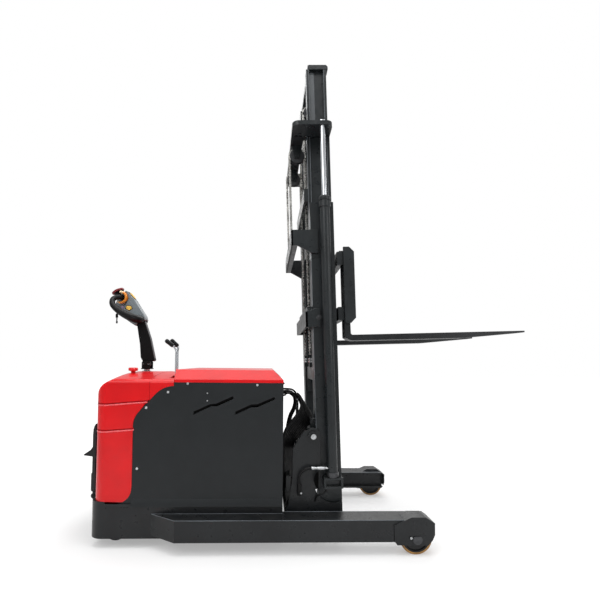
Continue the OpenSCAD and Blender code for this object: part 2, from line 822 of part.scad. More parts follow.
module tiller_grips() {
  color(black) machine() both() {
    rod_y(-1148, 1452, grip_r, [60, 118]);
    rod_y(-1078, 1508, grip_r, [60, 118]);
    hull() {
      translate([-1148, 118, 1452]) sphere(r = grip_r, $fn = 24);
      translate([-1078, 118, 1508]) sphere(r = grip_r, $fn = 24);
    }
  }
}

module tiller_controls() {
  color("orange") machine() both() {
    rod_y(-1092, 1474, 16, [60, 84]);
    block([-1108, -1076], [84, 92], [1460, 1488]);
  }
}

// Casters

caster_axle_z = caster_wheel_r;
caster_fork_in = caster_wheel_w / 2 + 6;

module caster_fork(s) {
  top_z = 2 * caster_wheel_r + 50 - seat_gap;
  color(black) machine() side(s) translate([caster_x, caster_y, 0]) {
    rod_z(0, 0, 12, [top_z - 30, top_z + 36]);
    rod_z(0, 0, 42, [top_z - 22, top_z]);
    both() across([caster_fork_in, caster_fork_in + 6]) difference() {
      polygon([
        [-30, top_z - 22], [30, top_z - 22], [-caster_trail + 16, caster_axle_z - 12],
        [-caster_trail - 16, caster_axle_z - 12]
      ]);
      translate([-caster_trail, caster_axle_z]) circle(r = 8);
    }
    block([-30, 30], [-caster_fork_in - 6, caster_fork_in + 6], [top_z - 28, top_z - 20]);
    rod_y(-caster_trail, caster_axle_z, 8, [-caster_fork_in - 9, caster_fork_in + 9]);
  }
}

module caster_wheel(s) {
  color([0.25, 0.25, 0.25]) machine() side(s)
    translate([caster_x - caster_trail, caster_y, caster_axle_z])
      plain_wheel(caster_wheel_r, caster_wheel_w, 8 + pin_fit);
}

module caster_fork_right() { caster_fork(-1); }
module caster_fork_left() { caster_fork(1); }
module caster_wheel_right() { caster_wheel(-1); }
module caster_wheel_left() { caster_wheel(1); }

// Platform, folded up behind the body

module platform_deck() {
  foot_z = deck_hinge_z + 35;
  top_z = foot_z + deck_l;
  color(black) machine() {
    across([-deck_w / 2, deck_w / 2]) polygon(concat(
      [[deck_inner_x, foot_z], [deck_inner_x, top_z]],
      arc([deck_outer_x + 26, top_z - 26], 26, 90, 180, 6),
      [
        [deck_outer_x, foot_z + 300], [lip_x, foot_z + 222], [lip_x, foot_z + 218],
        [deck_outer_x, foot_z + 222], [deck_outer_x, foot_z]
      ]
    ));
    both() difference() {
      across([deck_w / 2 - 50, deck_w / 2 - 30]) hull() {
        translate([deck_hinge_x, deck_hinge_z]) circle(r = 18, $fn = 32);
        translate([deck_inner_x - 25, foot_z]) square([25, 5]);
        translate([deck_outer_x, foot_z]) square([25, 5]);
      }
      rod_y(deck_hinge_x, deck_hinge_z, 8, [0, deck_w]);
    }
    both() rod_y(deck_hinge_x, deck_hinge_z, 8, [deck_w / 2 - 55, deck_w / 2 - 5]);
  }
}

// Reach carriage

bite_c = [301, 342];
bite_r = 110;
plate_front_x = 225;
plate_nose_x = 346;
plate_foot_z = 104;
pivot_boss_r = 47;

module reach_side(s) {
  nose_a = -acos((plate_nose_x - bite_c[0]) / bite_r);
  top_a = 360 - acos((plate_front_x - bite_c[0]) / bite_r);
  color(black) machine() side(s) difference() {
    across([reach_plate_y - reach_plate_t, reach_plate_y]) polygon(concat(
      [[15, plate_foot_z], [15, 195], [36, 227], [58, 370], [60, 550], [130, pivot_z + 33]],
      arc([pivot_x, pivot_z], pivot_boss_r, 140, 10),
      [[plate_front_x, pivot_z - 60]],
      arc(bite_c, bite_r, 360 - top_a, 360 + nose_a, 14),
      [[plate_nose_x, plate_foot_z]]
    ));
    rod_y(pivot_x, pivot_z, pivot_pin_r, [300, 500]);
    for (x = [rear_roller_x, front_roller_x]) {
      rod_y(x, roller_z, 20, [300, 500]);
    }
  }
}

module reach_side_right() { reach_side(-1); }
module reach_side_left() { reach_side(1); }

tie_y = reach_plate_y - reach_plate_t;
tie_back_x = 22;
tie_front_x = 50;
tilt_rod_y = 348;
tilt_pin_x = pivot_x + tilt_arm * sin(mast_lean);
tilt_pin_z = pivot_z - tilt_arm * cos(mast_lean);
post_z = 790;
post_x = 100;

module reach_ties() {
  color(black) machine() {
    block([tie_back_x, tie_front_x], [-tie_y, tie_y], [plate_foot_z, 195]);
    block([tie_back_x, tie_front_x], [-tie_y, tie_y], [tilt_pin_z - 45, tilt_pin_z + 45]);
    block([84, 114], [-tie_y, tie_y], [515, 560]);
    block([post_x, post_x + 12], [-130, -30], [560, post_z]);
    for (y = [-50, -90]) {
      rod_z(post_x + 6, y, 8, [post_z - 20, post_z + 16.5]);
    }
  }
}

module guide_rollers() {
  color(steel) machine() both() for (x = [rear_roller_x, front_roller_x]) {
    rod_y(x, roller_z, 20, [reach_plate_y - reach_plate_t, channel_tip_y + 2]);
    rod_y(x, roller_z, guide_roller_r, [channel_tip_y + 2, channel_back_y - 4]);
  }
}

module pivot_pins() {
  color(steel) machine() both() {
    rod_y(pivot_x, pivot_z, pivot_pin_r, [334, reach_plate_y + 20]);
    rod_y(pivot_x, pivot_z, 30, [reach_plate_y, reach_plate_y + 14]);
  }
}

module reach_rod() {
  color(steel) machine() rod_x(0, reach_cylinder_z, reach_rod_r, [-580, tie_back_x]);
}

module tilt_barrels() {
  color(black) machine() both() difference() {
    rod_x(tilt_rod_y, tilt_pin_z, 29, [tie_front_x, 136]);
    rod_x(tilt_rod_y, tilt_pin_z, 14 + pin_fit, [tie_front_x + 4, 140]);
  }
}

tilt_lug_r = 42;
tilt_eye_r = 19;
tilt_lug_pin_r = 11;
// Play of a tilt rod's eye on its pin, which takes up the eye's drift
tilt_eye_play = 2.2;

module tilt_rods() {
  color(steel) machine() both() difference() {
    union() {
      rod_x(tilt_rod_y, tilt_pin_z, 14, [84, tilt_pin_x - 18]);
      rod_y(tilt_pin_x, tilt_pin_z, tilt_eye_r, [tilt_rod_y - 9, tilt_rod_y + 9]);
    }
    rod_y(tilt_pin_x, tilt_pin_z, tilt_lug_pin_r + tilt_eye_play, [tilt_rod_y - 20, tilt_rod_y + 20]);
  }
}

// Hose routes as hand-set points. Each leaves the body's front straight, from a tail that slides inside
thin_hose_1 = [
  [-530, -70, 880], [-200, -70, 880], [0, -70, 880], [36, -70, 880], [68, -68, 876], [90, -62, 862],
  [102, -56, 842], [106, -50, 820], [106, -50, 806.8]
];
thin_hose_2 = [
  [-530, -110, 845], [-200, -110, 845], [0, -110, 845], [34, -110, 845], [64, -108, 845], [90, -102, 840],
  [104, -96, 828], [106, -90, 816], [106, -90, 806.8]
];
thick_hose = [
  [-530, 60, 830], [-200, 60, 830], [-20, 60, 830], [10, 60, 828], [36, 60, 810], [52, 60, 775],
  [58, 60, 730], [56, 60, 660], [52, 60, 580], [48, 60, 500], [46, 60, 430], [46, 60, 386]
];

module feed_hoses() {
  color(black) machine() {
    tube(thin_hose_1, hose_r);
    tube(thin_hose_2, hose_r);
    tube(thick_hose, 18);
  }
}

// Mast

// A rail's profile as flanges at its rear and front and a web between two distances from the middle
module rail(y0, y1, web, w0, w1) {
  block([rail_u, rail_u + rail_flange], [y0, y1], [w0, w1]);
  block([rail_front_u - rail_flange, rail_front_u], [y0, y1], [w0, w1]);
  block([rail_u, rail_front_u], web, [w0, w1]);
}

module outer_rails() {
  color(mast_color) mast() both() {
    difference() {
      union() {
        rail(outer_in_y, outer_rail_y, [outer_rail_y - rail_web, outer_rail_y], -outer_foot_w, outer_top_w);
        // Tilt lug behind the rail, which stays out of the channel
        across([outer_in_y + 8, outer_rail_y]) {
          intersection() {
            circle(r = tilt_lug_r);
            translate([-tilt_lug_r, -tilt_lug_r]) square([tilt_lug_r + rail_u + rail_flange, 2 * tilt_lug_r]);
          }
          translate([-30, -60]) square([rail_u + 30, 90]);
        }
        // Ears for the tilt rod
        for (y = [tilt_rod_y - 20, tilt_rod_y + 11]) {
          across([y, y + 9]) polygon([
            [rail_u, -tilt_arm - 34], [rail_u, -tilt_arm + 34], [-12, -tilt_arm + 18], [-12, -tilt_arm - 18]
          ]);
        }
      }
      rod_y(0, 0, pivot_pin_r + pin_fit, [outer_in_y, outer_rail_y + 5]);
    }
    rod_y(0, -tilt_arm, tilt_lug_pin_r, [tilt_rod_y - 22, tilt_rod_y + 22]);
    // Upper roller, in the middle rail's outer channel
    rod_y(roller_u, outer_top_w - 60, 16, [mid_out_y - 2, outer_rail_y - rail_web]);
    rod_y(roller_u, outer_top_w - 60, mast_roller_r, [mid_out_y - web_out + 3, mid_out_y - 2]);
  }
}

ear_y = [outer_rail_y, outer_rail_y + 15];
bar_back_u = -24;
bar_front_u = -10;

module outer_brackets() {
  color(mast_color) mast() {
    // Upper bracket, deeper at its rear, with the rear chains' anchors
    both() across(ear_y) polygon([
      [-98, 1137], [-98, 1231], [65, 1231], [65, 1095], [rail_u, 1095], [-60, 1137]
    ]);
    block([-98, -86], [-ear_y[1], ear_y[1]], [1137, 1231]);
    both() block([-98, -66], [lift_chain_y - 16, lift_chain_y + 16], [1219, 1231]);
    // Middle bracket
    both() across(ear_y) polygon([[bar_back_u, 647], [bar_back_u, 755], [65, 755], [65, 647]]);
    block([bar_back_u, bar_front_u], [-ear_y[1], ear_y[1]], [647, 755]);
    both() block([bar_front_u, rail_u], [outer_in_y, outer_rail_y], [647, 755]);
    // Foot tie
    block([bar_back_u, bar_front_u], [-outer_rail_y, outer_rail_y], [-outer_foot_w, 100 - outer_foot_w]);
    both() block([bar_front_u, rail_u], [outer_in_y, outer_rail_y], [-outer_foot_w, 100 - outer_foot_w]);
  }
}

cylinder_foot_w = -235;
barrel_top_w = 1400;

module lift_barrels() {
  color(mast_color) mast() both() {
    difference() {
      union() {
        rod_z(cylinder_u, cylinder_y, barrel_r, [cylinder_foot_w, barrel_top_w]);
        rod_z(cylinder_u, cylinder_y, barrel_r + 5, [barrel_top_w - 42, barrel_top_w - 6]);
      }
      rod_z(cylinder_u, cylinder_y, lift_rod_r + run_gap, [cylinder_foot_w + 12, barrel_top_w + 5]);
    }
    difference() {
      block([50, 160], [outer_rail_y, cylinder_y + 35], [cylinder_foot_w - 60, cylinder_foot_w]);
      block([62, 148], [cylinder_y + 5, cylinder_y + 40], [cylinder_foot_w - 48, cylinder_foot_w - 12]);
    }
    across([outer_rail_y, outer_rail_y + 8]) polygon([
      [60, cylinder_foot_w - 60], [150, cylinder_foot_w - 60], [110, cylinder_foot_w - 105],
      [78, cylinder_foot_w - 105]
    ]);
  }
}

mid_tie_u = [-6, 3];
// Heights of the middle stage's ties at rest: lower and upper edge
mid_ties = [[0, 90], [700, 780], [1440, 1520]];

module mid_rails() {
  color(mast_color) mast() {
    both() {
      rail(mid_in_y, mid_out_y, [mid_in_y + web_out, mid_out_y - web_out], mid_foot_w, mid_top_w);
      // Lower roller, in the outer channel
      rod_y(roller_u, mid_foot_w + 60, 16, [mid_out_y - web_out, outer_in_y + 4]);
      rod_y(roller_u, mid_foot_w + 60, mast_roller_r, [outer_in_y + 4, outer_rail_y - rail_web - 4]);
      // Upper roller, in the inner rail's outer channel
      rod_y(roller_u, mid_top_w - 60, 16, [inner_out_y - 2, mid_in_y + web_out]);
      rod_y(roller_u, mid_top_w - 60, mast_roller_r, [inner_out_y - web_out + 3, inner_out_y - 2]);
    }
    for (t = mid_ties) {
      block(mid_tie_u, [-mid_out_y, mid_out_y], t);
      both() block([mid_tie_u[1], rail_u], [mid_in_y, mid_out_y], t);
    }
  }
}

plate_rear_u = -75;
plate_front_u = rail_front_u + 2;
lift_sheave_u = rail_u - 3 - lift_sheave_r;
lift_sheave_w = mid_top_w - 62;
sheave_cheek = 6;
sheave_pin_r = 12;

module head_plate() {
  corner = 40;
  slot_y = inner_out_y + 7;
  color(mast_color) mast() difference() {
    union() {
      upright([mid_top_w, mid_top_w + head_plate_t]) difference() {
        union() {
          translate([plate_rear_u, -head_plate_y + corner])
            square([plate_front_u - plate_rear_u, 2 * (head_plate_y - corner)]);
          translate([plate_rear_u + corner, -head_plate_y])
            square([plate_front_u - plate_rear_u - 2 * corner, 2 * head_plate_y]);
          for (u = [plate_rear_u + corner, plate_front_u - corner], s = [-1, 1]) {
            translate([u, s * (head_plate_y - corner)]) circle(r = corner);
          }
        }
        translate([mid_tie_u[1], -slot_y]) square([200, 2 * slot_y]);
      }
      // Cheeks that hang the sheaves, and their pins
      both() {
        for (y = [lift_chain_y - chain_w / 2 - sheave_cheek - 4, lift_chain_y + chain_w / 2 + 4]) {
          across([y, y + sheave_cheek]) polygon([
            [lift_sheave_u - 36, mid_top_w], [lift_sheave_u + 32, mid_top_w],
            [lift_sheave_u + 18, lift_sheave_w - 18], [lift_sheave_u - 18, lift_sheave_w - 18]
          ]);
        }
        rod_y(lift_sheave_u, lift_sheave_w, sheave_pin_r,
          [lift_chain_y - chain_w / 2 - 14, lift_chain_y + chain_w / 2 + 14]);
      }
    }
    both() rod_z(cylinder_u, cylinder_y, lift_rod_r, [mid_top_w - 5, mid_top_w + 40]);
  }
}

module lift_rods() {
  color(steel) mast() both() {
    rod_z(cylinder_u, cylinder_y, lift_rod_r, [outer_top_w - 1232, mid_top_w + head_plate_t]);
    rod_z(cylinder_u, cylinder_y, lift_rod_r + 8, [mid_top_w + head_plate_t, mid_top_w + head_plate_t + 18]);
  }
}

// A sheave about the y axis: a waist that the chain lies on, between two flanges
module sheave(r, bore_r) {
  waist = r - chain_plate_h / 2;
  rotate([90, 0, 0]) rotate_extrude() polygon([
    [bore_r, -chain_w / 2 - 3], [waist + 8, -chain_w / 2 - 3], [waist + 8, -chain_w / 2 - 0.5],
    [waist, -chain_w / 2 - 0.5], [waist, chain_w / 2 + 0.5], [waist + 8, chain_w / 2 + 0.5],
    [waist + 8, chain_w / 2 + 3], [bore_r, chain_w / 2 + 3]
  ]);
}

module lift_sheaves() {
  color(steel) mast() both() translate([lift_sheave_u, lift_chain_y, lift_sheave_w])
    sheave(lift_sheave_r, sheave_pin_r + pin_fit);
}

module inner_rails() {
  color(mast_color) mast() both() {
    rail(inner_in_y, inner_out_y, [inner_in_y + web_out, inner_out_y - web_out], inner_foot_w, inner_top_w);
    rod_y(roller_u, inner_foot_w + 60, 16, [inner_out_y - web_out, mid_in_y + 3]);
    rod_y(roller_u, inner_foot_w + 60, mast_roller_r, [mid_in_y + 3, mid_in_y + web_out - 3]);
  }
}

inner_tie_u = [33, 45];
// Heights of the inner stage's ties at rest: lower and upper edge
inner_tie_w = [[320, 434], [1180, 1270], [1960, 2030]];
fork_sheave_w = inner_top_w - 141;
fork_sheave_u = rail_u - 1 + fork_sheave_r;
front_chain_u = fork_sheave_u + fork_sheave_r;

module inner_ties() {
  color(mast_color) mast() {
    block([rail_u, rail_front_u], [-inner_out_y, inner_out_y], [inner_top_w, inner_top_w + 30]);
    for (t = inner_tie_w) {
      block(inner_tie_u, [-inner_in_y, inner_in_y], t);
    }
    // Anchors of the chains that lift this stage
    both() block([10, inner_tie_u[0]], [lift_chain_y - 14, lift_chain_y + 14],
      [inner_tie_w[0][1] - 30, inner_tie_w[0][1]]);
    // Pin of the fork chains' sheaves
    rod_y(fork_sheave_u, fork_sheave_w, sheave_pin_r, [-inner_in_y - web_out, inner_in_y + web_out]);
  }
}

module fork_sheaves() {
  color(steel) mast() both() translate([fork_sheave_u, fork_chain_y, fork_sheave_w])
    sheave(fork_sheave_r, sheave_pin_r + pin_fit);
}

// Chains: straight strands of plates, alternately wide and narrow, and wraps over the sheaves

module chain_strand(u, y, w0, w1) {
  count = floor((w1 - w0) / chain_pitch);
  pitch = (w1 - w0) / count;
  for (i = [0 : count - 1]) {
    wide = i % 2 == 0 ? chain_w : chain_w - 6;
    block(
      [u - chain_plate_h / 2, u + chain_plate_h / 2], [y - wide / 2, y + wide / 2],
      [w0 + i * pitch, w0 + (i + 1) * pitch + (i < count - 1 ? 0.5 : 0)]
    );
  }
}

module chain_wrap(u, y, w, r) {
  translate([u, y, w]) rotate([90, 0, 0]) translate([0, 0, -chain_w / 2]) rotate_extrude(angle = 180)
    translate([r - chain_plate_h / 2 + 0.5, 0]) square([chain_plate_h - 0.5, chain_w]);
}

anchor_top_w = 1231;

module chain_outer_rear() {
  color(steel) mast() both()
    chain_strand(lift_sheave_u - lift_sheave_r, lift_chain_y, anchor_top_w, lift_sheave_w - seat_gap);
}

module chain_lift_front() {
  color(steel) mast() both() {
    chain_wrap(lift_sheave_u, lift_chain_y, lift_sheave_w, lift_sheave_r);
    chain_strand(lift_sheave_u + lift_sheave_r, lift_chain_y, inner_tie_w[0][1], lift_sheave_w);
  }
}

module chain_fork_rear() {
  color(steel) mast() both() {
    chain_strand(fork_sheave_u - fork_sheave_r, fork_chain_y, mid_ties[2][1], fork_sheave_w);
    chain_wrap(fork_sheave_u, fork_chain_y, fork_sheave_w, fork_sheave_r);
  }
}

// Fork carriage

lower_bar_w = [carriage_low_w + 20, carriage_low_w + 100];
upper_bar_w = [carriage_top_w - 107, carriage_top_w - 27];
arm_y = [inner_in_y - 24, inner_in_y - 8];
carriage_side_y = [395, 407];

module chain_fork_front() {
  color(steel) mast() both()
    chain_strand(front_chain_u, fork_chain_y, lower_bar_w[1], fork_sheave_w - seat_gap);
}

module carriage_frame() {
  color(mast_color) mast() {
    block([bar_u, shank_u - 1], [-385, 385], lower_bar_w);
    block([bar_u, shank_u - 1], [-carriage_side_y[0], carriage_side_y[0]], upper_bar_w);
    both() {
      // Arm with its two rollers in the inner rail, and a gap behind the bars
      across(arm_y) difference() {
        translate([52, carriage_low_w + 20]) square([bar_u - 52, carriage_h - 107]);
        translate([rail_front_u + 2, lower_bar_w[1]])
          square([bar_u - rail_front_u - 1, upper_bar_w[0] - lower_bar_w[1] - 40]);
      }
      for (w = [carriage_low_w + 90, carriage_top_w - 150]) {
        rod_y(roller_u, w, 16, [arm_y[1], inner_in_y + 3]);
        rod_y(roller_u, w, mast_roller_r, [inner_in_y + 3, inner_in_y + web_out - 2]);
      }
      block([front_chain_u - 12, bar_u], [fork_chain_y - 16, fork_chain_y + 16],
        [lower_bar_w[1] - 24, lower_bar_w[1]]);
      block([bar_u, bar_u + 10], arm_y, [lower_bar_w[0], upper_bar_w[1]]);
      // Spacers that carry the side plates
      block([shank_u, shank_u + 12], [385, carriage_side_y[0]], lower_bar_w);
    }
  }
}

module carriage_sides() {
  chamfer = 30;
  u0 = shank_u - 1;
  u1 = shank_u + 65;
  color(mast_color) mast() both() across(carriage_side_y) polygon([
    [u0, carriage_low_w], [u1 - chamfer, carriage_low_w], [u1, carriage_low_w + chamfer],
    [u1, carriage_top_w - chamfer], [u1 - chamfer, carriage_top_w], [u0, carriage_top_w]
  ]);
}

module fork(s) {
  heel_low_w = fork_top_w - fork_t;
  color(black) mast() side(s) across([fork_outer_y - fork_w, fork_outer_y]) polygon(concat(
    [[shank_u, upper_bar_w[1] - 5], [shank_u, heel_low_w + 18]],
    arc([shank_u + 18, heel_low_w + 18], 18, 180, 270, 5),
    [[tip_u - 380, heel_low_w], [tip_u, fork_top_w - fork_tip_t], [tip_u, fork_top_w]],
    arc([heel_u + 12, fork_top_w + 12], 12, 270, 180, 5),
    [[heel_u - 8, upper_bar_w[1] + 8], [shank_u - 22, upper_bar_w[1] + 8], [shank_u - 22, upper_bar_w[1]],
    [shank_u, upper_bar_w[1]]]
  ));
}

module fork_right() { fork(-1); }
module fork_left() { fork(1); }

// Short hose between a lift cylinder's foot and the reach carriage's plate
cylinder_hose_route = [
  [258, 428, 322], [250, 430, 306], [236, 432, 296], [218, 430, 290], [204, 424, 280], [196, 415, 264],
  [192, 410.4, 246]
];

module cylinder_hoses() {
  color(black) machine() both() tube(cylinder_hose_route, 5);
}

chassis_frame();
side_panel_right();
side_panel_left();
rear_cowl();
leg_right();
leg_left();
load_axles();
battery();
reach_barrel();
emergency_button();
hydraulic_levers();
hood_lid();
platform_deck();
steering_column();
drive_fork();
drive_wheel();
tiller_arm();
tiller_head();
tiller_grips();
tiller_controls();
caster_fork_right();
caster_fork_left();
caster_wheel_right();
caster_wheel_left();
load_tread_right();
load_tread_left();
load_hub_right();
load_hub_left();
reach_side_right();
reach_side_left();
reach_ties();
guide_rollers();
pivot_pins();
reach_rod();
feed_hoses();
tilt_barrels();
tilt_rods();
outer_rails();
outer_brackets();
lift_barrels();
chain_outer_rear();
cylinder_hoses();
mid_rails();
head_plate();
lift_rods();
lift_sheaves();
chain_lift_front();
inner_rails();
inner_ties();
fork_sheaves();
chain_fork_rear();
carriage_frame();
carriage_sides();
fork_right();
fork_left();
chain_fork_front();
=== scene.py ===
"""Looks of a stand-on reach stacker, built round its packed construction model.

Shapes are worked out in millimetres, either in the machine's frame, where x counts from the front
face of the body, or in the mast's frame, where u points forwards and w upwards from the tilt pin.
"""
import json
import logging
import math
from collections.abc import Iterable, Sequence
from dataclasses import dataclass, field
from enum import Enum

import bmesh
import bpy
import numpy as np
from mathutils import Matrix, Vector


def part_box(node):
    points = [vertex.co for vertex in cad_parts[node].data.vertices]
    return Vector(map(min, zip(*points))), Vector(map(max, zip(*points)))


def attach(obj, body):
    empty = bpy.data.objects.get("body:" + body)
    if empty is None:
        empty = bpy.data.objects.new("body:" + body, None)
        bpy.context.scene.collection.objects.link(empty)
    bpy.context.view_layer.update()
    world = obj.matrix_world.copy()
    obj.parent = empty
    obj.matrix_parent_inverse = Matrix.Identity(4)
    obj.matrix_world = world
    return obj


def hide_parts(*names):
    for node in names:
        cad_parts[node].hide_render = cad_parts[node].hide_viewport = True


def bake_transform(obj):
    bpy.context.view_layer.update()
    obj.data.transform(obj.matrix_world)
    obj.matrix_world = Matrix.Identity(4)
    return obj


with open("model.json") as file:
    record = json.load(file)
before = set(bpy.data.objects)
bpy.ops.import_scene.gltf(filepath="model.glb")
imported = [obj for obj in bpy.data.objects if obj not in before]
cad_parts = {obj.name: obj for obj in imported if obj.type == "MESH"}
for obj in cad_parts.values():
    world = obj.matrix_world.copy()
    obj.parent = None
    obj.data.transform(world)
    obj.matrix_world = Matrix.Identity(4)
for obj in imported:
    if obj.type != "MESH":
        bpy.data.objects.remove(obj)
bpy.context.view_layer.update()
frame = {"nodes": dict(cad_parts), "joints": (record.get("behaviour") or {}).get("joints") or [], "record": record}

LOG = logging.getLogger("stacker")
Colour = tuple[float, float, float]
MM = 0.001


def joint(name: str) -> dict:
    """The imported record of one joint.

    Args:
        name: the joint's name.

    Returns:
        The joint's own entry in the record.
    """
    return next(j for j in frame["joints"] if j["name"] == name)


def row_x(machine_x: float) -> float:
    """The row frame's x in metres of an x in the machine's frame."""
    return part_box("side_panel_right")[1].x + machine_x * MM


MAST_AXIS = Vector(joint("mast_lift")["axis"])
TILT_PIN = Vector(joint("mast_tilt")["pos_m"])


class Place(Enum):
    """The frame in which a shape's millimetres are given."""

    MACHINE = "machine"
    MAST = "mast"

    def matrix(self) -> np.ndarray:
        """The 4 by 4 matrix from this frame's millimetres to the row frame's metres."""
        made = np.eye(4)
        if self is Place.MACHINE:
            made[:3, :3] *= MM
            made[0, 3] = row_x(0)
            return made
        up = np.array(MAST_AXIS)
        forward = np.cross([0.0, 1.0, 0.0], up)
        made[:3, :3] = np.column_stack([forward, [0.0, 1.0, 0.0], up]) * MM
        made[:3, 3] = TILT_PIN
        return made


# Finishes


def linear(colour: Colour) -> tuple[float, float, float, float]:
    """Turns a display colour with parts from 0 to 1 into the renderer's linear colour."""
    parts = np.asarray(colour, float)
    low = parts / 12.92
    high = ((parts + 0.055) / 1.055) ** 2.4
    return (*np.where(parts <= 0.04045, low, high).tolist(), 1.0)


def rgb(red: int, green: int, blue: int) -> Colour:
    """A display colour from three numbers up to 255."""
    return (red / 255, green / 255, blue / 255)


@dataclass(frozen=True)
class Finish:
    """A painted, moulded or metal finish.

    The colour drifts a little over large patches, a fine grain lifts the surface, the gloss varies
    with handling, and edges are painted lighter: partly rubbed paint that shows what lies under it,
    partly a painted highlight.
    """

    name: str
    colour: Colour
    roughness: float = 0.45
    specular: float = 0.5
    metallic: float = 0.0
    coat: float = 0.0
    coat_roughness: float = 0.12
    grain_mm: float = 1.2
    grain_depth: float = 0.12
    drift: float = 0.12
    drift_mm: float = 160.0
    gloss_drift: float = 0.10
    dust: float = 0.0
    wear_and_highlight: float = 0.0
    wear_and_highlight_colour: Colour = rgb(150, 152, 155)
    wear_and_highlight_mm: float = 1.2
    slot: str = ""

    def material(self) -> bpy.types.Material:
        """The finish as a material, made once.

        Returns:
            The material with its node tree.
        """
        name = f"{self.name}_finish"
        known = bpy.data.materials.get(name)
        if known is not None:
            return known
        made = bpy.data.materials.new(name)
        made.use_nodes = True
        graph = Graph(made.node_tree)
        place = graph.add("ShaderNodeTexCoord").outputs["Object"]
        shader = graph.tree.nodes["Principled BSDF"]
        shader.inputs["Metallic"].default_value = self.metallic
        shader.inputs["Specular IOR Level"].default_value = self.specular
        shader.inputs["Coat Weight"].default_value = self.coat
        shader.inputs["Coat Roughness"].default_value = self.coat_roughness
        broad = graph.noise(place, 1000 / self.drift_mm, 4)
        shade = graph.blend(
            graph.spread(broad, 0.35, 0.65), linear(self.darker()), linear(self.lighter()))
        if self.dust > 0:
            shade = self.dusted(graph, place, shade)
        # Lighter edges: partly rubbed paint, partly painted highlight.
        if self.wear_and_highlight > 0:
            shade = self.worn_and_highlit(graph, place, shade)
        graph.link(shade, shader.inputs["Base Color"])
        smudge = graph.noise(place, 1000 / (self.drift_mm * 0.3), 3)
        low = max(0.03, self.roughness - self.gloss_drift)
        high = min(1.0, self.roughness + self.gloss_drift)
        graph.link(graph.spread(smudge, 0.3, 0.7, low, high), shader.inputs["Roughness"])
        if self.grain_depth > 0:
            graph.link(self.grain(graph, place), shader.inputs["Normal"])
        return made

    def darker(self) -> Colour:
        """The finish's colour where it drifts darker."""
        return tuple(part * (1 - self.drift) for part in self.colour)

    def lighter(self) -> Colour:
        """The finish's colour where it drifts lighter."""
        return tuple(min(1.0,
                         part * (1 + self.drift * 0.5) + self.drift * 0.01) for part in self.colour)

    def grain(self, graph: "Graph", place: bpy.types.NodeSocket) -> bpy.types.NodeSocket:
        """The fine grain as a bump.

        Args:
            graph: the material's node tree.
            place: the point on the surface.

        Returns:
            The lifted normal.
        """
        fine = graph.noise(place, 1000 / self.grain_mm, 3)
        bump = graph.add("ShaderNodeBump")
        bump.inputs["Strength"].default_value = self.grain_depth
        bump.inputs["Distance"].default_value = self.grain_mm * MM * 0.5
        graph.link(fine, bump.inputs["Height"])
        return bump.outputs["Normal"]

    def dusted(self, graph: "Graph", place: bpy.types.NodeSocket,
               shade: bpy.types.NodeSocket) -> bpy.types.NodeSocket:
        """A thin film of dust on faces that look upwards.

        Args:
            graph: the material's node tree.
            place: the point on the surface.
            shade: the clean colour.

        Returns:
            The colour with its dust.
        """
        normal = graph.add("ShaderNodeNewGeometry").outputs["Normal"]
        split = graph.add("ShaderNodeSeparateXYZ")
        graph.link(normal, split.inputs[0])
        upward = graph.spread(split.outputs["Z"], 0.3, 1.0, 0.0, self.dust)
        patches = graph.spread(graph.noise(place, 14, 5), 0.35, 0.7)
        return graph.blend(graph.times(upward, patches), shade, linear(rgb(140, 138, 132)))

    def worn_and_highlit(self, graph: "Graph", place: bpy.types.NodeSocket,
             shade: bpy.types.NodeSocket) -> bpy.types.NodeSocket:
        """Edges painted lighter, where a rounded normal leaves the true one.

        The lighter colour is partly paint rubbed thin and partly a painted highlight.

        Args:
            graph: the material's node tree.
            place: the point on the surface.
            shade: the whole colour.

        Returns:
            The colour with its lighter edges, partly rubbed paint and partly painted highlight.
        """
        rounded = graph.add("ShaderNodeBevel")
        rounded.samples = 4
        rounded.inputs["Radius"].default_value = self.wear_and_highlight_mm * MM
        true = graph.add("ShaderNodeNewGeometry").outputs["True Normal"]
        facing = graph.add("ShaderNodeVectorMath")
        facing.operation = "DOT_PRODUCT"
        graph.link(rounded.outputs["Normal"], facing.inputs[0])
        graph.link(true, facing.inputs[1])
        edge = graph.spread(facing.outputs["Value"], 0.98, 0.80)
        broken = graph.spread(graph.noise(place, 60, 4), 0.42, 0.62, 0.0, self.wear_and_highlight)
        return graph.blend(graph.times(edge, broken), shade, linear(self.wear_and_highlight_colour))


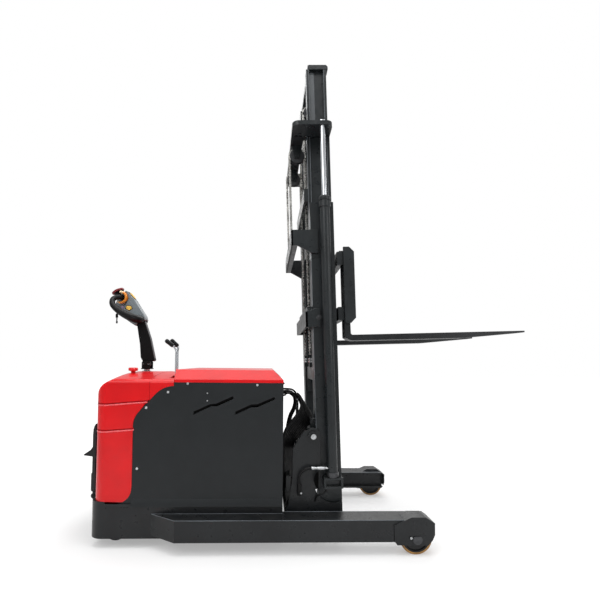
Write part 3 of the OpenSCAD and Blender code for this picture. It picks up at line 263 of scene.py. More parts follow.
class Graph:
    """Short ways of adding and joining the nodes of one material."""

    def __init__(self, tree: bpy.types.NodeTree) -> None:
        """Keeps the tree that nodes are added to."""
        self.tree = tree

    def add(self, kind: str) -> bpy.types.Node:
        """Adds a node of one kind."""
        return self.tree.nodes.new(kind)

    def link(self, start: bpy.types.NodeSocket, end: bpy.types.NodeSocket) -> None:
        """Joins an output to an input."""
        self.tree.links.new(start, end)

    def noise(self, place: bpy.types.NodeSocket, scale: float,
              detail: float) -> bpy.types.NodeSocket:
        """Smooth noise over the surface.

        Args:
            place: the point on the surface.
            scale: how many patches there are to a metre.
            detail: how many finer layers are added.

        Returns:
            The noise, from 0 to 1 about 0.5.
        """
        made = self.add("ShaderNodeTexNoise")
        made.inputs["Scale"].default_value = scale
        made.inputs["Detail"].default_value = detail
        self.link(place, made.inputs["Vector"])
        return made.outputs["Fac"]

    def spread(self, value: bpy.types.NodeSocket, low: float, high: float,
               to_low: float = 0.0, to_high: float = 1.0) -> bpy.types.NodeSocket:
        """Maps one range onto another and cuts off what lies outside.

        Args:
            value: the number to map.
            low: where the range starts.
            high: where the range ends.
            to_low: the result at low.
            to_high: the result at high.

        Returns:
            The mapped number.
        """
        made = self.add("ShaderNodeMapRange")
        for name, number in zip(("From Min", "From Max", "To Min", "To Max"),
                                (low, high, to_low, to_high)):
            made.inputs[name].default_value = number
        self.link(value, made.inputs["Value"])
        return made.outputs["Result"]

    def times(self, first: bpy.types.NodeSocket,
              second: bpy.types.NodeSocket) -> bpy.types.NodeSocket:
        """The product of two numbers."""
        made = self.add("ShaderNodeMath")
        made.operation = "MULTIPLY"
        self.link(first, made.inputs[0])
        self.link(second, made.inputs[1])
        return made.outputs[0]

    def blend(self, share: bpy.types.NodeSocket, first: object,
              second: object) -> bpy.types.NodeSocket:
        """Mixes two colours, each given as a socket or as its numbers.

        Args:
            share: 0 for the first colour, 1 for the second.
            first: the first colour.
            second: the second colour.

        Returns:
            The mixed colour.
        """
        made = self.add("ShaderNodeMix")
        made.data_type = "RGBA"
        self.link(share, made.inputs[0])
        for slot, colour in ((made.inputs[6], first), (made.inputs[7], second)):
            if isinstance(colour, bpy.types.NodeSocket):
                self.link(colour, slot)
            else:
                slot.default_value = colour
        return made.outputs[2]


RED = Finish("moulded_red", rgb(212, 5, 13), roughness=0.36, specular=0.2, coat=0.3,
             coat_roughness=0.10, grain_mm=3.0, grain_depth=0.012, drift=0.04, gloss_drift=0.04,
             slot="red_cover")
# A lighter, glossier red: a highlight painted on the cover's lips.
RED_HIGHLIGHT = Finish("moulded_red_painted_highlight", rgb(232, 60, 68), roughness=0.25, coat=1.0, grain_depth=0.0,
                  drift=0.03, slot="red_cover")
# A darker red: shade painted into the cover's grooves, also used for the seam's dark line.
RED_SHADE = Finish("moulded_red_shade", rgb(150, 5, 12), roughness=0.5, specular=0.1,
                   grain_depth=0.0, drift=0.03, slot="red_cover")
# Charcoal and mast paints get lighter edges: partly rubbed paint, partly painted highlight.
PANEL = Finish("panel_charcoal", rgb(27, 30, 32), roughness=0.40, specular=0.28, grain_mm=1.4,
               grain_depth=0.10, drift=0.06, gloss_drift=0.06, wear_and_highlight=0.25,
               wear_and_highlight_colour=rgb(96, 98, 100), slot="black_paint")
FRAME_PAINT = Finish("frame_charcoal", rgb(24, 26, 28), roughness=0.34, specular=0.32, grain_mm=1.6,
                     grain_depth=0.12, drift=0.12, gloss_drift=0.10, dust=0.04, wear_and_highlight=0.4,
                     wear_and_highlight_colour=rgb(120, 122, 124), slot="black_paint")
MAST_PAINT = Finish("mast_charcoal", rgb(28, 32, 34), roughness=0.34, specular=0.34, grain_mm=1.8,
                    grain_depth=0.10, drift=0.12, gloss_drift=0.10, dust=0.05, wear_and_highlight=0.5,
                    wear_and_highlight_colour=rgb(128, 131, 134), slot="mast_paint")
CHROME = Finish("polished_chrome", rgb(205, 208, 212), roughness=0.14, metallic=1.0, grain_mm=0.8,
                grain_depth=0.03, drift=0.05, gloss_drift=0.05, slot="chrome")
STEEL = Finish("bare_steel", rgb(198, 200, 202), roughness=0.36, metallic=1.0, grain_mm=0.8,
               grain_depth=0.10, drift=0.15, drift_mm=40, gloss_drift=0.10, slot="bare_steel")
CHAIN_STEEL = Finish("oiled_chain_steel", rgb(205, 204, 200), roughness=0.26, metallic=1.0,
                     grain_mm=0.9, grain_depth=0.12, drift=0.25, drift_mm=60, gloss_drift=0.12,
                     slot="chain_steel")
TAN = Finish("cast_tan_tread", rgb(160, 118, 62), roughness=0.48, grain_mm=1.0, grain_depth=0.10,
             drift=0.18, drift_mm=30, slot="tread_tan")
HUB = Finish("cast_black_hub", rgb(18, 19, 20), roughness=0.42, specular=0.35, grain_mm=1.5,
             grain_depth=0.2, drift=0.15, slot="hub_black")
RUBBER = Finish("dark_rubber", rgb(9, 9, 10), roughness=0.5, specular=0.22, grain_mm=0.8,
                grain_depth=0.18, drift=0.1, slot="hose_rubber")
GRIP = Finish("grip_rubber", rgb(12, 12, 13), roughness=0.42, specular=0.2, grain_mm=0.7,
              grain_depth=0.25, drift=0.08, slot="grip_black")
TILLER_BLACK = Finish("tiller_black", rgb(10, 10, 11), roughness=0.42, specular=0.12, grain_mm=0.9,
                      grain_depth=0.16, drift=0.06, slot="tiller_black")
TILLER_GREY = Finish("tiller_grey", rgb(112, 120, 124), roughness=0.46, specular=0.3, grain_mm=0.8,
                     grain_depth=0.07, drift=0.06, slot="tiller_grey")
ORANGE = Finish("control_orange", rgb(228, 138, 38), roughness=0.38, grain_mm=0.8, grain_depth=0.06,
                drift=0.05, slot="control_orange")
BUTTON_RED = Finish("button_red", rgb(222, 30, 34), roughness=0.32, coat=0.3, grain_depth=0.03,
                    drift=0.03, slot="red_button")
SILVER = Finish("column_silver", rgb(188, 190, 192), roughness=0.34, metallic=0.9, grain_depth=0.05,
                drift=0.05, slot="column_metal")
BATTERY = Finish("battery_case", rgb(38, 38, 40), roughness=0.6, grain_mm=2.5, grain_depth=0.15,
                 slot="dark_block")
CASTER = Finish("caster_grey", rgb(66, 66, 68), roughness=0.62, grain_depth=0.15,
                slot="caster_rubber")
DRIVE_TREAD = Finish("drive_tread", rgb(150, 104, 52), roughness=0.55, grain_depth=0.15,
                     slot="drive_tread")
STRIP_GREY = Finish("strip_grey", rgb(70, 74, 77), roughness=0.4, grain_depth=0.04, drift=0.04,
                    slot="tiller_grey")
CREAM = Finish("control_cream", rgb(240, 214, 170), roughness=0.42, grain_depth=0.04, drift=0.04,
               slot="control_orange")
BUTTON_RIM = Finish("button_rim", rgb(120, 18, 26), roughness=0.36, grain_depth=0.04, drift=0.05,
                    slot="red_button")
MAT = Finish("rubber_mat", rgb(20, 20, 21), roughness=0.62, grain_depth=0.2, dust=0.15,
             slot="hose_rubber")
YELLOW = Finish("button_yellow", rgb(238, 192, 84), roughness=0.42, grain_depth=0.04, drift=0.04,
                slot="control_orange")
PAD = Finish("side_pad", rgb(150, 140, 170), roughness=0.6, grain_depth=0.05, drift=0.04,
             slot="tiller_grey")
BUTTON_DARK = Finish("button_dark", rgb(70, 24, 28), roughness=0.5, grain_depth=0.08, drift=0.06,
                     slot="red_button")
DARK_STEEL = Finish("blackened_steel", rgb(70, 71, 73), roughness=0.38, metallic=0.8,
                    grain_depth=0.08, drift=0.1, drift_mm=30, slot="bare_steel")
# Near black: shade painted into the panels' slots and the plate's opening.
VOID = Finish("deep_shade", rgb(5, 5, 5), roughness=0.8, specular=0.05, grain_depth=0.0,
              slot="black_paint")
# A light grey: highlights painted along the legs' tops and the mast rails' edges.
EDGE_HIGHLIGHT = Finish("painted_edge_highlight", rgb(104, 110, 116), roughness=0.4, grain_depth=0.05,
                  slot="black_paint")
DECK = Finish("deck_black", rgb(26, 27, 29), roughness=0.5, specular=0.35, grain_mm=1.2,
              grain_depth=0.2, dust=0.08, slot="black_paint")


# Shapes


@dataclass
class Shape:
    """A bare mesh: points, the corners of its faces in one run, and each face's corner count."""

    points: np.ndarray
    corners: np.ndarray
    counts: np.ndarray

    @staticmethod
    def joined(shapes: Iterable["Shape"]) -> "Shape":
        """Several shapes as one mesh.

        Args:
            shapes: the shapes to join.

        Returns:
            One shape with all their points and faces.
        """
        kept = list(shapes)
        starts = np.cumsum([0] + [len(s.points) for s in kept[:-1]])
        return Shape(
            np.concatenate([s.points for s in kept]),
            np.concatenate([s.corners + start for s, start in zip(kept, starts)]),
            np.concatenate([s.counts for s in kept]),
        )

    def moved(self, matrix: np.ndarray) -> "Shape":
        """The shape under a 4 by 4 matrix, its faces turned round if the matrix mirrors.

        Args:
            matrix: the matrix to apply.

        Returns:
            The moved shape.
        """
        points = self.points @ matrix[:3, :3].T + matrix[:3, 3]
        corners = self.corners
        if np.linalg.det(matrix[:3, :3]) < 0:
            ends = np.cumsum(self.counts)
            owner = np.repeat(np.arange(len(self.counts)), self.counts)
            starts = ends - self.counts
            within = np.arange(len(corners)) - starts[owner]
            corners = corners[starts[owner] + self.counts[owner] - 1 - within]
        return Shape(points, corners, self.counts)

    def at(self, x: float, y: float, z: float) -> "Shape":
        """The shape shifted."""
        shift = np.eye(4)
        shift[:3, 3] = (x, y, z)
        return self.moved(shift)

    def mirrored(self) -> "Shape":
        """The shape's mirror image across the machine's middle plane."""
        return self.moved(np.diag([1.0, -1.0, 1.0, 1.0]))

    def both(self) -> "Shape":
        """The shape and its mirror image."""
        return Shape.joined([self, self.mirrored()])


def grid(points: np.ndarray, round_u: bool = False, round_v: bool = False) -> Shape:
    """A surface through a grid of points, each four neighbours making one face.

    Args:
        points: an array of rows, columns and three coordinates.
        round_u: whether the last row joins the first.
        round_v: whether the last column joins the first.

    Returns:
        The surface.
    """
    rows, columns = points.shape[:2]
    index = np.arange(rows * columns).reshape(rows, columns)
    if round_u:
        index = np.vstack([index, index[:1]])
    if round_v:
        index = np.hstack([index, index[:, :1]])
    faces = np.stack([index[:-1, :-1], index[1:, :-1], index[1:, 1:], index[:-1, 1:]], -1)
    count = faces.shape[0] * faces.shape[1]
    return Shape(points.reshape(-1, 3), faces.reshape(-1), np.full(count, 4))


def capped(points: np.ndarray, round_v: bool = True) -> Shape:
    """A tube of rings with a flat face over its first and last ring.

    Args:
        points: an array of rings, ring points and three coordinates.
        round_v: whether each ring is closed.

    Returns:
        The closed tube.
    """
    wall = grid(points, round_v=round_v)
    rows, columns = points.shape[:2]
    first = np.arange(columns)
    last = np.arange((rows - 1) * columns, rows * columns)[::-1]
    return Shape(
        wall.points,
        np.concatenate([wall.corners, first, last]),
        np.concatenate([wall.counts, [columns, columns]]),
    )


def prism(outline: np.ndarray, low: float, high: float, axis: str = "y") -> Shape:
    """A flat outline carried straight along one axis, with its two ends closed.

    Args:
        outline: points in the plane of the other two axes, in x, y, z order.
        low: where the prism starts along the axis.
        high: where it ends.
        axis: the axis that the outline is carried along.

    Returns:
        The prism, its faces outwards whichever way the outline runs.
    """
    flat = np.asarray(outline, float)
    area = np.sum(flat[:, 0] * np.roll(flat[:, 1], -1) - np.roll(flat[:, 0], -1) * flat[:, 1])
    turns_left = area > 0
    if turns_left == (axis == "y"):
        flat = flat[::-1]
    rings = np.zeros((2, len(flat), 3))
    spot = "xyz".index(axis)
    others = [i for i in range(3) if i != spot]
    for ring, value in enumerate((low, high)):
        rings[ring][:, others] = flat
        rings[ring, :, spot] = value
    return capped(rings)


def revolved(profile: Sequence[Sequence[float]], axis: str = "y", steps: int = 48) -> Shape:
    """A profile of radius and distance along an axis, turned once round that axis.

    The point at turn t is (radius cos t, radius sin t) across the axis and the distance along it. A
    profile whose first and last points differ is closed by its own ends on the axis or by a bore.

    Args:
        profile: pairs of radius and distance along the axis.
        axis: the axis of the turn.
        steps: how many faces go round.

    Returns:
        The turned surface.
    """
    line = np.asarray(profile, float)
    turn = np.linspace(0, 2 * np.pi, steps, endpoint=False)
    rings = np.zeros((len(line), steps, 3))
    order = {"x": (1, 2, 0), "y": (2, 0, 1), "z": (0, 1, 2)}[axis]
    rings[..., order[0]] = line[:, :1] * np.cos(turn)
    rings[..., order[1]] = line[:, :1] * np.sin(turn)
    rings[..., order[2]] = line[:, 1:2]
    return grid(rings.transpose(1, 0, 2), round_u=True)


def smooth_line(points: Sequence[Sequence[float]], steps: int = 8) -> np.ndarray:
    """A Catmull-Rom curve through points: each span is a cubic sloped like its neighbours' chord.

    Args:
        points: the points to pass through.
        steps: how many pieces each span is cut into.

    Returns:
        The curve's points.
    """
    p = np.asarray(points, float)
    p = np.vstack([p[:1], p, p[-1:]])
    t = (np.arange(steps) / steps)[None, :, None]
    a, b, c, d = (p[i:len(p) - 3 + i, None, :] for i in range(4))
    curve = 0.5 * (2 * b + (c - a) * t + (2 * a - 5 * b + 4 * c - d) * t**2
                   + (3 * b - a - 3 * c + d) * t**3)
    return np.vstack([curve.reshape(-1, p.shape[1]), p[-1:]])


def circle(radius: float, sides: int = 16) -> np.ndarray:
    """The points of a circle about the origin."""
    turn = np.linspace(0, 2 * np.pi, sides, endpoint=False)
    return radius * np.column_stack([np.cos(turn), np.sin(turn)])


def swept(path: np.ndarray, section: np.ndarray, scale: np.ndarray | None = None,
          hint: Sequence[float] = (0.05, 1.0, 0.02), closed: bool = False) -> Shape:
    """A section carried along a path, square to it, its first axis turned towards neither side.

    At each point the section's second axis is the path's direction crossed with the hint, and its
    first axis is square to both.

    Args:
        path: the path's points.
        section: the section's points, two numbers each.
        scale: one factor for the section at each point of the path.
        hint: a direction that the path never runs along.
        closed: whether the path joins its own start.

    Returns:
        The swept solid.
    """
    if closed:
        ahead = np.roll(path, -1, 0) - np.roll(path, 1, 0)
    else:
        ahead = np.gradient(path, axis=0)
    ahead /= np.linalg.norm(ahead, axis=1, keepdims=True)
    side = np.cross(ahead, np.asarray(hint, float))
    side /= np.linalg.norm(side, axis=1, keepdims=True)
    normal = np.cross(side, ahead)
    size = np.ones(len(path)) if scale is None else np.asarray(scale)
    ring = (path[:, None, :]
            + size[:, None, None] * (section[None, :, :1] * normal[:, None, :]
                                     + section[None, :, 1:] * side[:, None, :]))
    return grid(ring, True, True) if closed else capped(ring)


def box_shape(x: tuple[float, float], y: tuple[float, float], z: tuple[float, float]) -> Shape:
    """A plain block between two corners, for a bevel to finish."""
    outline = np.array([[x[0], z[0]], [x[1], z[0]], [x[1], z[1]], [x[0], z[1]]])
    return prism(outline, y[0], y[1])


def repeated(shape: Shape, matrices: np.ndarray) -> Shape:
    """Copies of one shape, each under its own matrix.

    Args:
        shape: the shape to repeat.
        matrices: one 4 by 4 matrix for each copy.

    Returns:
        All the copies as one shape.
    """
    points = np.einsum("nij,kj->nki", matrices[:, :3, :3], shape.points) + matrices[:, None, :3, 3]
    first = np.arange(len(matrices))[:, None] * len(shape.points)
    corners = (shape.corners[None, :] + first).ravel()
    return Shape(points.reshape(-1, 3), corners, np.tile(shape.counts, len(matrices)))


def spots(places: Sequence[Sequence[float]], turn: np.ndarray | None = None) -> np.ndarray:
    """Matrices that carry a shape to each of several places, all with one turn.

    Args:
        places: the places' three coordinates.
        turn: a 3 by 3 turn, or None.

    Returns:
        One 4 by 4 matrix for each place.
    """
    made = np.tile(np.eye(4), (len(places), 1, 1))
    if turn is not None:
        made[:, :3, :3] = turn
    made[:, :3, 3] = places
    return made


def facing(direction: Sequence[float]) -> np.ndarray:
    """A turn that carries the upward axis onto a direction."""
    up = np.asarray(direction, float) / np.linalg.norm(direction)
    hint = np.array([1.0, 0.0, 0.0]) if abs(up[0]) < 0.9 else np.array([0.0, 1.0, 0.0])
    side = np.cross(hint, up)
    side /= np.linalg.norm(side)
    return np.column_stack([np.cross(side, up), side, up])


def screw_head(radius: float, height: float, socket: float = 0.5, steps: int = 24) -> Shape:
    """A cap screw's head with a hollow socket, its seat at the origin and its top along z.

    Args:
        radius: the head's radius.
        height: the head's height.
        socket: the socket's radius as a share of the head's.
        steps: how many faces go round.

    Returns:
        The head.
    """
    rim = radius * 0.14
    return revolved([
        (radius, 0), (radius, height - rim), (radius - rim, height), (radius * socket, height),
        (radius * socket * 0.96, height * 0.45), (0.01, height * 0.4)], "z", steps)


def hexagon(radius: float, height: float) -> Shape:
    """A hexagon head or nut with a chamfered top, its seat at the origin and its top along z."""
    flat = circle(radius, 6)
    levels = ((1.0, 0.0), (1.0, height * 0.8), (0.88, height), (0.5, height), (0.48, height * 1.22),
              (0.02, height * 1.25))
    rings = np.array([[[x * share, y * share, z] for x, y in flat] for share, z in levels])
    return capped(rings)


def arc(centre: Sequence[float], radius: float, start: float, end: float,
        steps: int = 10) -> np.ndarray:
    """Points of an arc from one angle to another, in degrees."""
    turn = np.radians(np.linspace(start, end, steps + 1))
    return np.asarray(centre, float) + radius * np.column_stack([np.cos(turn), np.sin(turn)])


# Pieces


@dataclass(frozen=True)
class Edge:
    """How a piece's sharp edges are finished, in millimetres and degrees."""

    width: float = 1.0
    segments: int = 2
    sharper_than: float = 32.0


def keep_mesh(name: str, shape: Shape, finish: Finish, edge: Edge | None) -> bpy.types.Object:
    """Puts a shape in metres into an object at the origin and finishes its edges.

    Args:
        name: the piece's name.
        shape: the shape in the row frame.
        finish: its finish.
        edge: how its edges are rounded, or None.

    Returns:
        The new object.
    """
    mesh = bpy.data.meshes.new(name)
    mesh.vertices.add(len(shape.points))
    mesh.vertices.foreach_set("co", shape.points.astype(np.float32).ravel())
    mesh.loops.add(len(shape.corners))
    mesh.loops.foreach_set("vertex_index", shape.corners.astype(np.int32))
    mesh.polygons.add(len(shape.counts))
    starts = np.cumsum(shape.counts) - shape.counts
    mesh.polygons.foreach_set("loop_start", starts.astype(np.int32))
    mesh.update(calc_edges=True)
    mesh.validate()
    mesh.polygons.foreach_set("use_smooth", np.ones(len(mesh.polygons), bool))
    mesh.set_sharp_from_angle(angle=math.radians(edge.sharper_than if edge else 32.0))
    mesh.materials.append(finish.material())
    made = bpy.data.objects.new(name, mesh)
    bpy.context.scene.collection.objects.link(made)
    if edge is not None:
        bevel = made.modifiers.new("edges", "BEVEL")
        bevel.width = edge.width * MM
        bevel.segments = edge.segments
        bevel.limit_method = "ANGLE"
        bevel.angle_limit = math.radians(edge.sharper_than)
        bevel.use_clamp_overlap = True
        even = made.modifiers.new("even_light", "WEIGHTED_NORMAL")
        even.keep_sharp = True
    return made


def add_piece(name: str, shape: Shape, finish: Finish, body: str, place: Place = Place.MACHINE,
              edge: Edge | None = None, stands_for: Sequence[str] = ()) -> bpy.types.Object:
    """Makes a piece of the object, on its body.

    Args:
        name: the piece's name.
        shape: its shape, in millimetres in its own frame.
        finish: its finish.
        body: the body that it rides on.
        place: the frame of its shape.
        edge: how its edges are rounded.
        stands_for: the construction nodes that it replaces.

    Returns:
        The piece.
    """
    made = keep_mesh(name, shape.moved(place.matrix()), finish, edge)
    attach(made, body)
    if stands_for:
        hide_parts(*stands_for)
    LOG.info("%s: %d faces on %s", name, len(made.data.polygons), body)
    return made


def node_shape(node: str) -> Shape:
    """A construction node's mesh with its loose triangles merged into whole flat faces.

    Args:
        node: the node's name.

    Returns:
        Its shape in the row frame, in metres.
    """
    work = bmesh.new()
    work.from_mesh(frame["nodes"][node].data)
    bmesh.ops.remove_doubles(work, verts=work.verts, dist=2e-5)
    bmesh.ops.dissolve_limit(work, angle_limit=math.radians(0.4), verts=work.verts,
                             edges=work.edges)
    work.verts.index_update()
    points = np.array([v.co for v in work.verts])
    corners = np.array([v.index for f in work.faces for v in f.verts])
    counts = np.array([len(f.verts) for f in work.faces])
    work.free()
    return Shape(points, corners, counts)


def sliced(shape: Shape, planes: Sequence[tuple[Sequence[float], Sequence[float]]]) -> Shape:
    """A shape with extra edges where planes cut it, and with points that coincide welded.

    Args:
        shape: the shape, in millimetres.
        planes: a point and a normal of each plane.

    Returns:
        The cut shape.
    """
    work = bmesh.new()
    mesh = bpy.data.meshes.new("work")
    mesh.from_pydata(shape.points.tolist(), [],
                     np.split(shape.corners, np.cumsum(shape.counts)[:-1]))
    work.from_mesh(mesh)
    bpy.data.meshes.remove(mesh)
    bmesh.ops.remove_doubles(work, verts=work.verts, dist=0.02)
    for spot, normal in planes:
        bmesh.ops.bisect_plane(work, geom=work.verts[:] + work.edges[:] + work.faces[:], dist=1e-3,
                               plane_co=spot, plane_no=normal)
    work.verts.index_update()
    made = Shape(np.array([v.co for v in work.verts]),
                 np.array([v.index for f in work.faces for v in f.verts]),
                 np.array([len(f.verts) for f in work.faces]))
    work.free()
    return made


def node_in(node: str, place: Place) -> Shape:
    """A construction node's shape, in one frame's millimetres."""
    return node_shape(node).moved(np.linalg.inv(place.matrix()))


FAR = 9e3  # beyond every point of the machine, in millimetres


@dataclass(frozen=True)
class Nudge:
    """Moves the points inside a box of one frame, to where the photograph shows them."""

    by: tuple[float, float, float]
    place: Place = Place.MAST
    x: tuple[float, float] = (-FAR, FAR)
    y: tuple[float, float] = (-FAR, FAR)
    z: tuple[float, float] = (-FAR, FAR)

    def apply(self, shape: Shape) -> Shape:
        """The shape, in the row frame's metres, with its points in the box moved."""
        matrix = self.place.matrix()
        local = shape.moved(np.linalg.inv(matrix))
        low, high = np.array([self.x, self.y, self.z]).T
        inside = np.all((local.points >= low) & (local.points <= high), axis=1)
        local.points[inside] += self.by
        return local.moved(matrix)


NUDGES: dict[str, tuple[Nudge, ...]] = {
    "mid_rails": (Nudge((0, 0, 19), z=(1700, FAR)),),
    "head_plate": (Nudge((0, 0, 19)), Nudge((0, 0, 2), z=(1875, FAR))),
    "lift_rods": (Nudge((0, 0, 19), z=(1700, FAR)), Nudge((0, 0, -12), z=(1893, FAR))),
    "lift_sheaves": (Nudge((0, 0, 19)),),
    "fork_sheaves": (Nudge((0, 0, 8)),),
    "inner_ties": (Nudge((0, 0, 86), z=(2200, FAR)), Nudge((26, 0, 0), x=(0, 30), z=(2200, FAR))),
    "chassis_frame": (
        Nudge((0, 0, 20), Place.MACHINE, x=(-1096, -700), z=(240, 242)),
        Nudge((8, 0, 0), Place.MACHINE, x=(-1096, -1094), z=(0, 300))),
}


def refine_node(node: str, body: str, finish: Finish, edge: Edge = Edge()) -> bpy.types.Object:
    """Stands a copy of a construction node in its place, with rounded edges and its finish.

    Args:
        node: the node's name.
        body: the body that it is on.
        finish: its finish.
        edge: how its edges are rounded.

    Returns:
        The piece that replaces the node.
    """
    shape = node_shape(node)
    for nudge in NUDGES.get(node, ()):
        shape = nudge.apply(shape)
    made = keep_mesh(f"{node}_finished", shape, finish, edge)
    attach(made, body)
    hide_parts(node)
    return made


def paint_node(node: str, finish: Finish) -> None:
    """Gives a construction node its finish."""
    shown = frame["nodes"][node]
    for slot in shown.material_slots:
        slot.link = "OBJECT"
        slot.material = finish.material()


def keep_solid(name: str, shape: Shape, finish: Finish, body: str, edge: Edge | None,
               stands_for: Sequence[str] = ()) -> bpy.types.Object:
    """Adds a shape that is in the row frame's metres already, on its body."""
    made = keep_mesh(name, shape, finish, edge)
    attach(made, body)
    if stands_for:
        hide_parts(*stands_for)
    return made


BODIES = frame["record"]["behaviour"]["bodies"]
BODY_OF = {node: body for body, nodes in BODIES.items() for node in nodes}


# Sub-assemblies


@dataclass
class PlainNodes:
    """Construction nodes whose own shape is right: each gets its finish, and the first table's nodes
    rounded edges as well.
    """

    rounded: dict[str, tuple[Finish, float]] = field(default_factory=lambda: {
        "chassis_frame": (FRAME_PAINT, 1.6), "side_panel_right": (PANEL, 1.0),
        "side_panel_left": (PANEL, 1.0), "leg_right": (FRAME_PAINT, 2.2),
        "leg_left": (FRAME_PAINT, 2.2), "battery": (BATTERY, 4.0), "hood_lid": (RED, 1.0),
        "drive_fork": (FRAME_PAINT, 1.5), "reach_side_right": (FRAME_PAINT, 1.2),
        "reach_side_left": (FRAME_PAINT, 1.2), "reach_ties": (FRAME_PAINT, 1.2),
        "outer_rails": (MAST_PAINT, 1.5), "lift_barrels": (MAST_PAINT, 1.2),
        "lift_rods": (CHROME, 0.6), "lift_sheaves": (DARK_STEEL, 1.0),
        "fork_sheaves": (DARK_STEEL, 1.0), "mid_rails": (MAST_PAINT, 1.5),
        "head_plate": (MAST_PAINT, 1.5), "inner_ties": (MAST_PAINT, 1.2),
        "carriage_frame": (MAST_PAINT, 1.5), "carriage_sides": (MAST_PAINT, 1.5),
        "tilt_barrels": (HUB, 1.0), "reach_barrel": (FRAME_PAINT, 1.0),
        "load_axles": (DARK_STEEL, 0.8),
    })
    plain: dict[str, Finish] = field(default_factory=lambda: {
        "drive_wheel": DRIVE_TREAD, "caster_fork_right": STEEL,
        "caster_fork_left": STEEL, "caster_wheel_right": CASTER, "caster_wheel_left": CASTER,
        "load_tread_right": TAN, "load_tread_left": TAN, "load_hub_right": HUB,
        "load_hub_left": HUB, "guide_rollers": STEEL, "pivot_pins": FRAME_PAINT,
        "reach_rod": CHROME, "tilt_rods": CHROME,
    })

    def build(self) -> None:
        """Finishes every node in both tables."""
        for node, (finish, width) in self.rounded.items():
            refine_node(node, BODY_OF[node], finish, Edge(width))
        for node, finish in self.plain.items():
            paint_node(node, finish)
            LOG.info("%s: painted", node)


@dataclass
class LeafChain:
    """Leaf chains of the mast: laced plates on pins, straight or bent round the sheaves."""

    pitch: float = 19.05
    plate_h: float = 17.5
    waist: float = 3.5
    plate_t: float = 2.3
    lacing: float = 4.8
    pin_r: float = 2.6
    pin_l: float = 24.0

    def plate(self, y: float) -> Shape:
        """One plate between two pins along z, at a place across the chain."""
        end = self.plate_h / 2
        top = arc((0, self.pitch), end, 30, 150, 4)
        low = arc((0, 0), end, 210, 330, 4)
        left = [(-self.waist / 2, self.pitch / 2)]
        right = [(self.waist / 2, self.pitch / 2)]
        return prism(np.vstack([top, left, low, right]), y - self.plate_t / 2, y + self.plate_t / 2)

    def pin(self) -> Shape:
        """The pin at the lower end of a link, with its riveted heads."""
        half = self.pin_l / 2
        return revolved([(0.01, -half), (self.pin_r - 0.8, -half), (self.pin_r, -half + 0.8),
                         (self.pin_r, half - 0.8), (self.pin_r - 0.8, half), (0.01, half)], "y", 12)

    def run(self, path: np.ndarray, y: float) -> Shape:
        """Links along a path in the mast's u and w.

        Each link's lower pin is where the path has gone a whole number of equal steps near the
        pitch, and the link points to the next step. Wide and narrow lacings take turns.

        Args:
            path: the path's points.
            y: the chain's middle plane.

        Returns:
            The links of one chain.
        """
        gone = np.concatenate([[0], np.cumsum(np.linalg.norm(np.diff(path, axis=0), axis=1))])
        count = max(1, round(gone[-1] / self.pitch))
        steps = np.linspace(0, gone[-1], count + 1)
        pins = np.column_stack([np.interp(steps, gone, path[:, 0]),
                                np.interp(steps, gone, path[:, 1])])
        ahead = np.diff(pins, axis=0)
        length = np.linalg.norm(ahead, axis=1, keepdims=True)
        ahead = ahead / length
        frames = np.tile(np.eye(4), (count, 1, 1))
        frames[:, 0, 0] = ahead[:, 1]
        frames[:, 2, 0] = -ahead[:, 0]
        frames[:, 0, 2] = ahead[:, 0] * length[:, 0] / self.pitch
        frames[:, 2, 2] = ahead[:, 1] * length[:, 0] / self.pitch
        frames[:, 0, 3] = pins[:-1, 0]
        frames[:, 1, 3] = y
        frames[:, 2, 3] = pins[:-1, 1]
        wide = Shape.joined([self.plate(k * self.lacing) for k in (-2, -1, 0, 1, 2)] + [self.pin()])
        inner = [self.plate(k * self.lacing) for k in (-1.5, -0.5, 0.5, 1.5)]
        narrow = Shape.joined(inner + [self.pin()])
        links = [repeated(wide, frames[::2])]
        if count > 1:
            links.append(repeated(narrow, frames[1::2]))
        return Shape.joined(links)


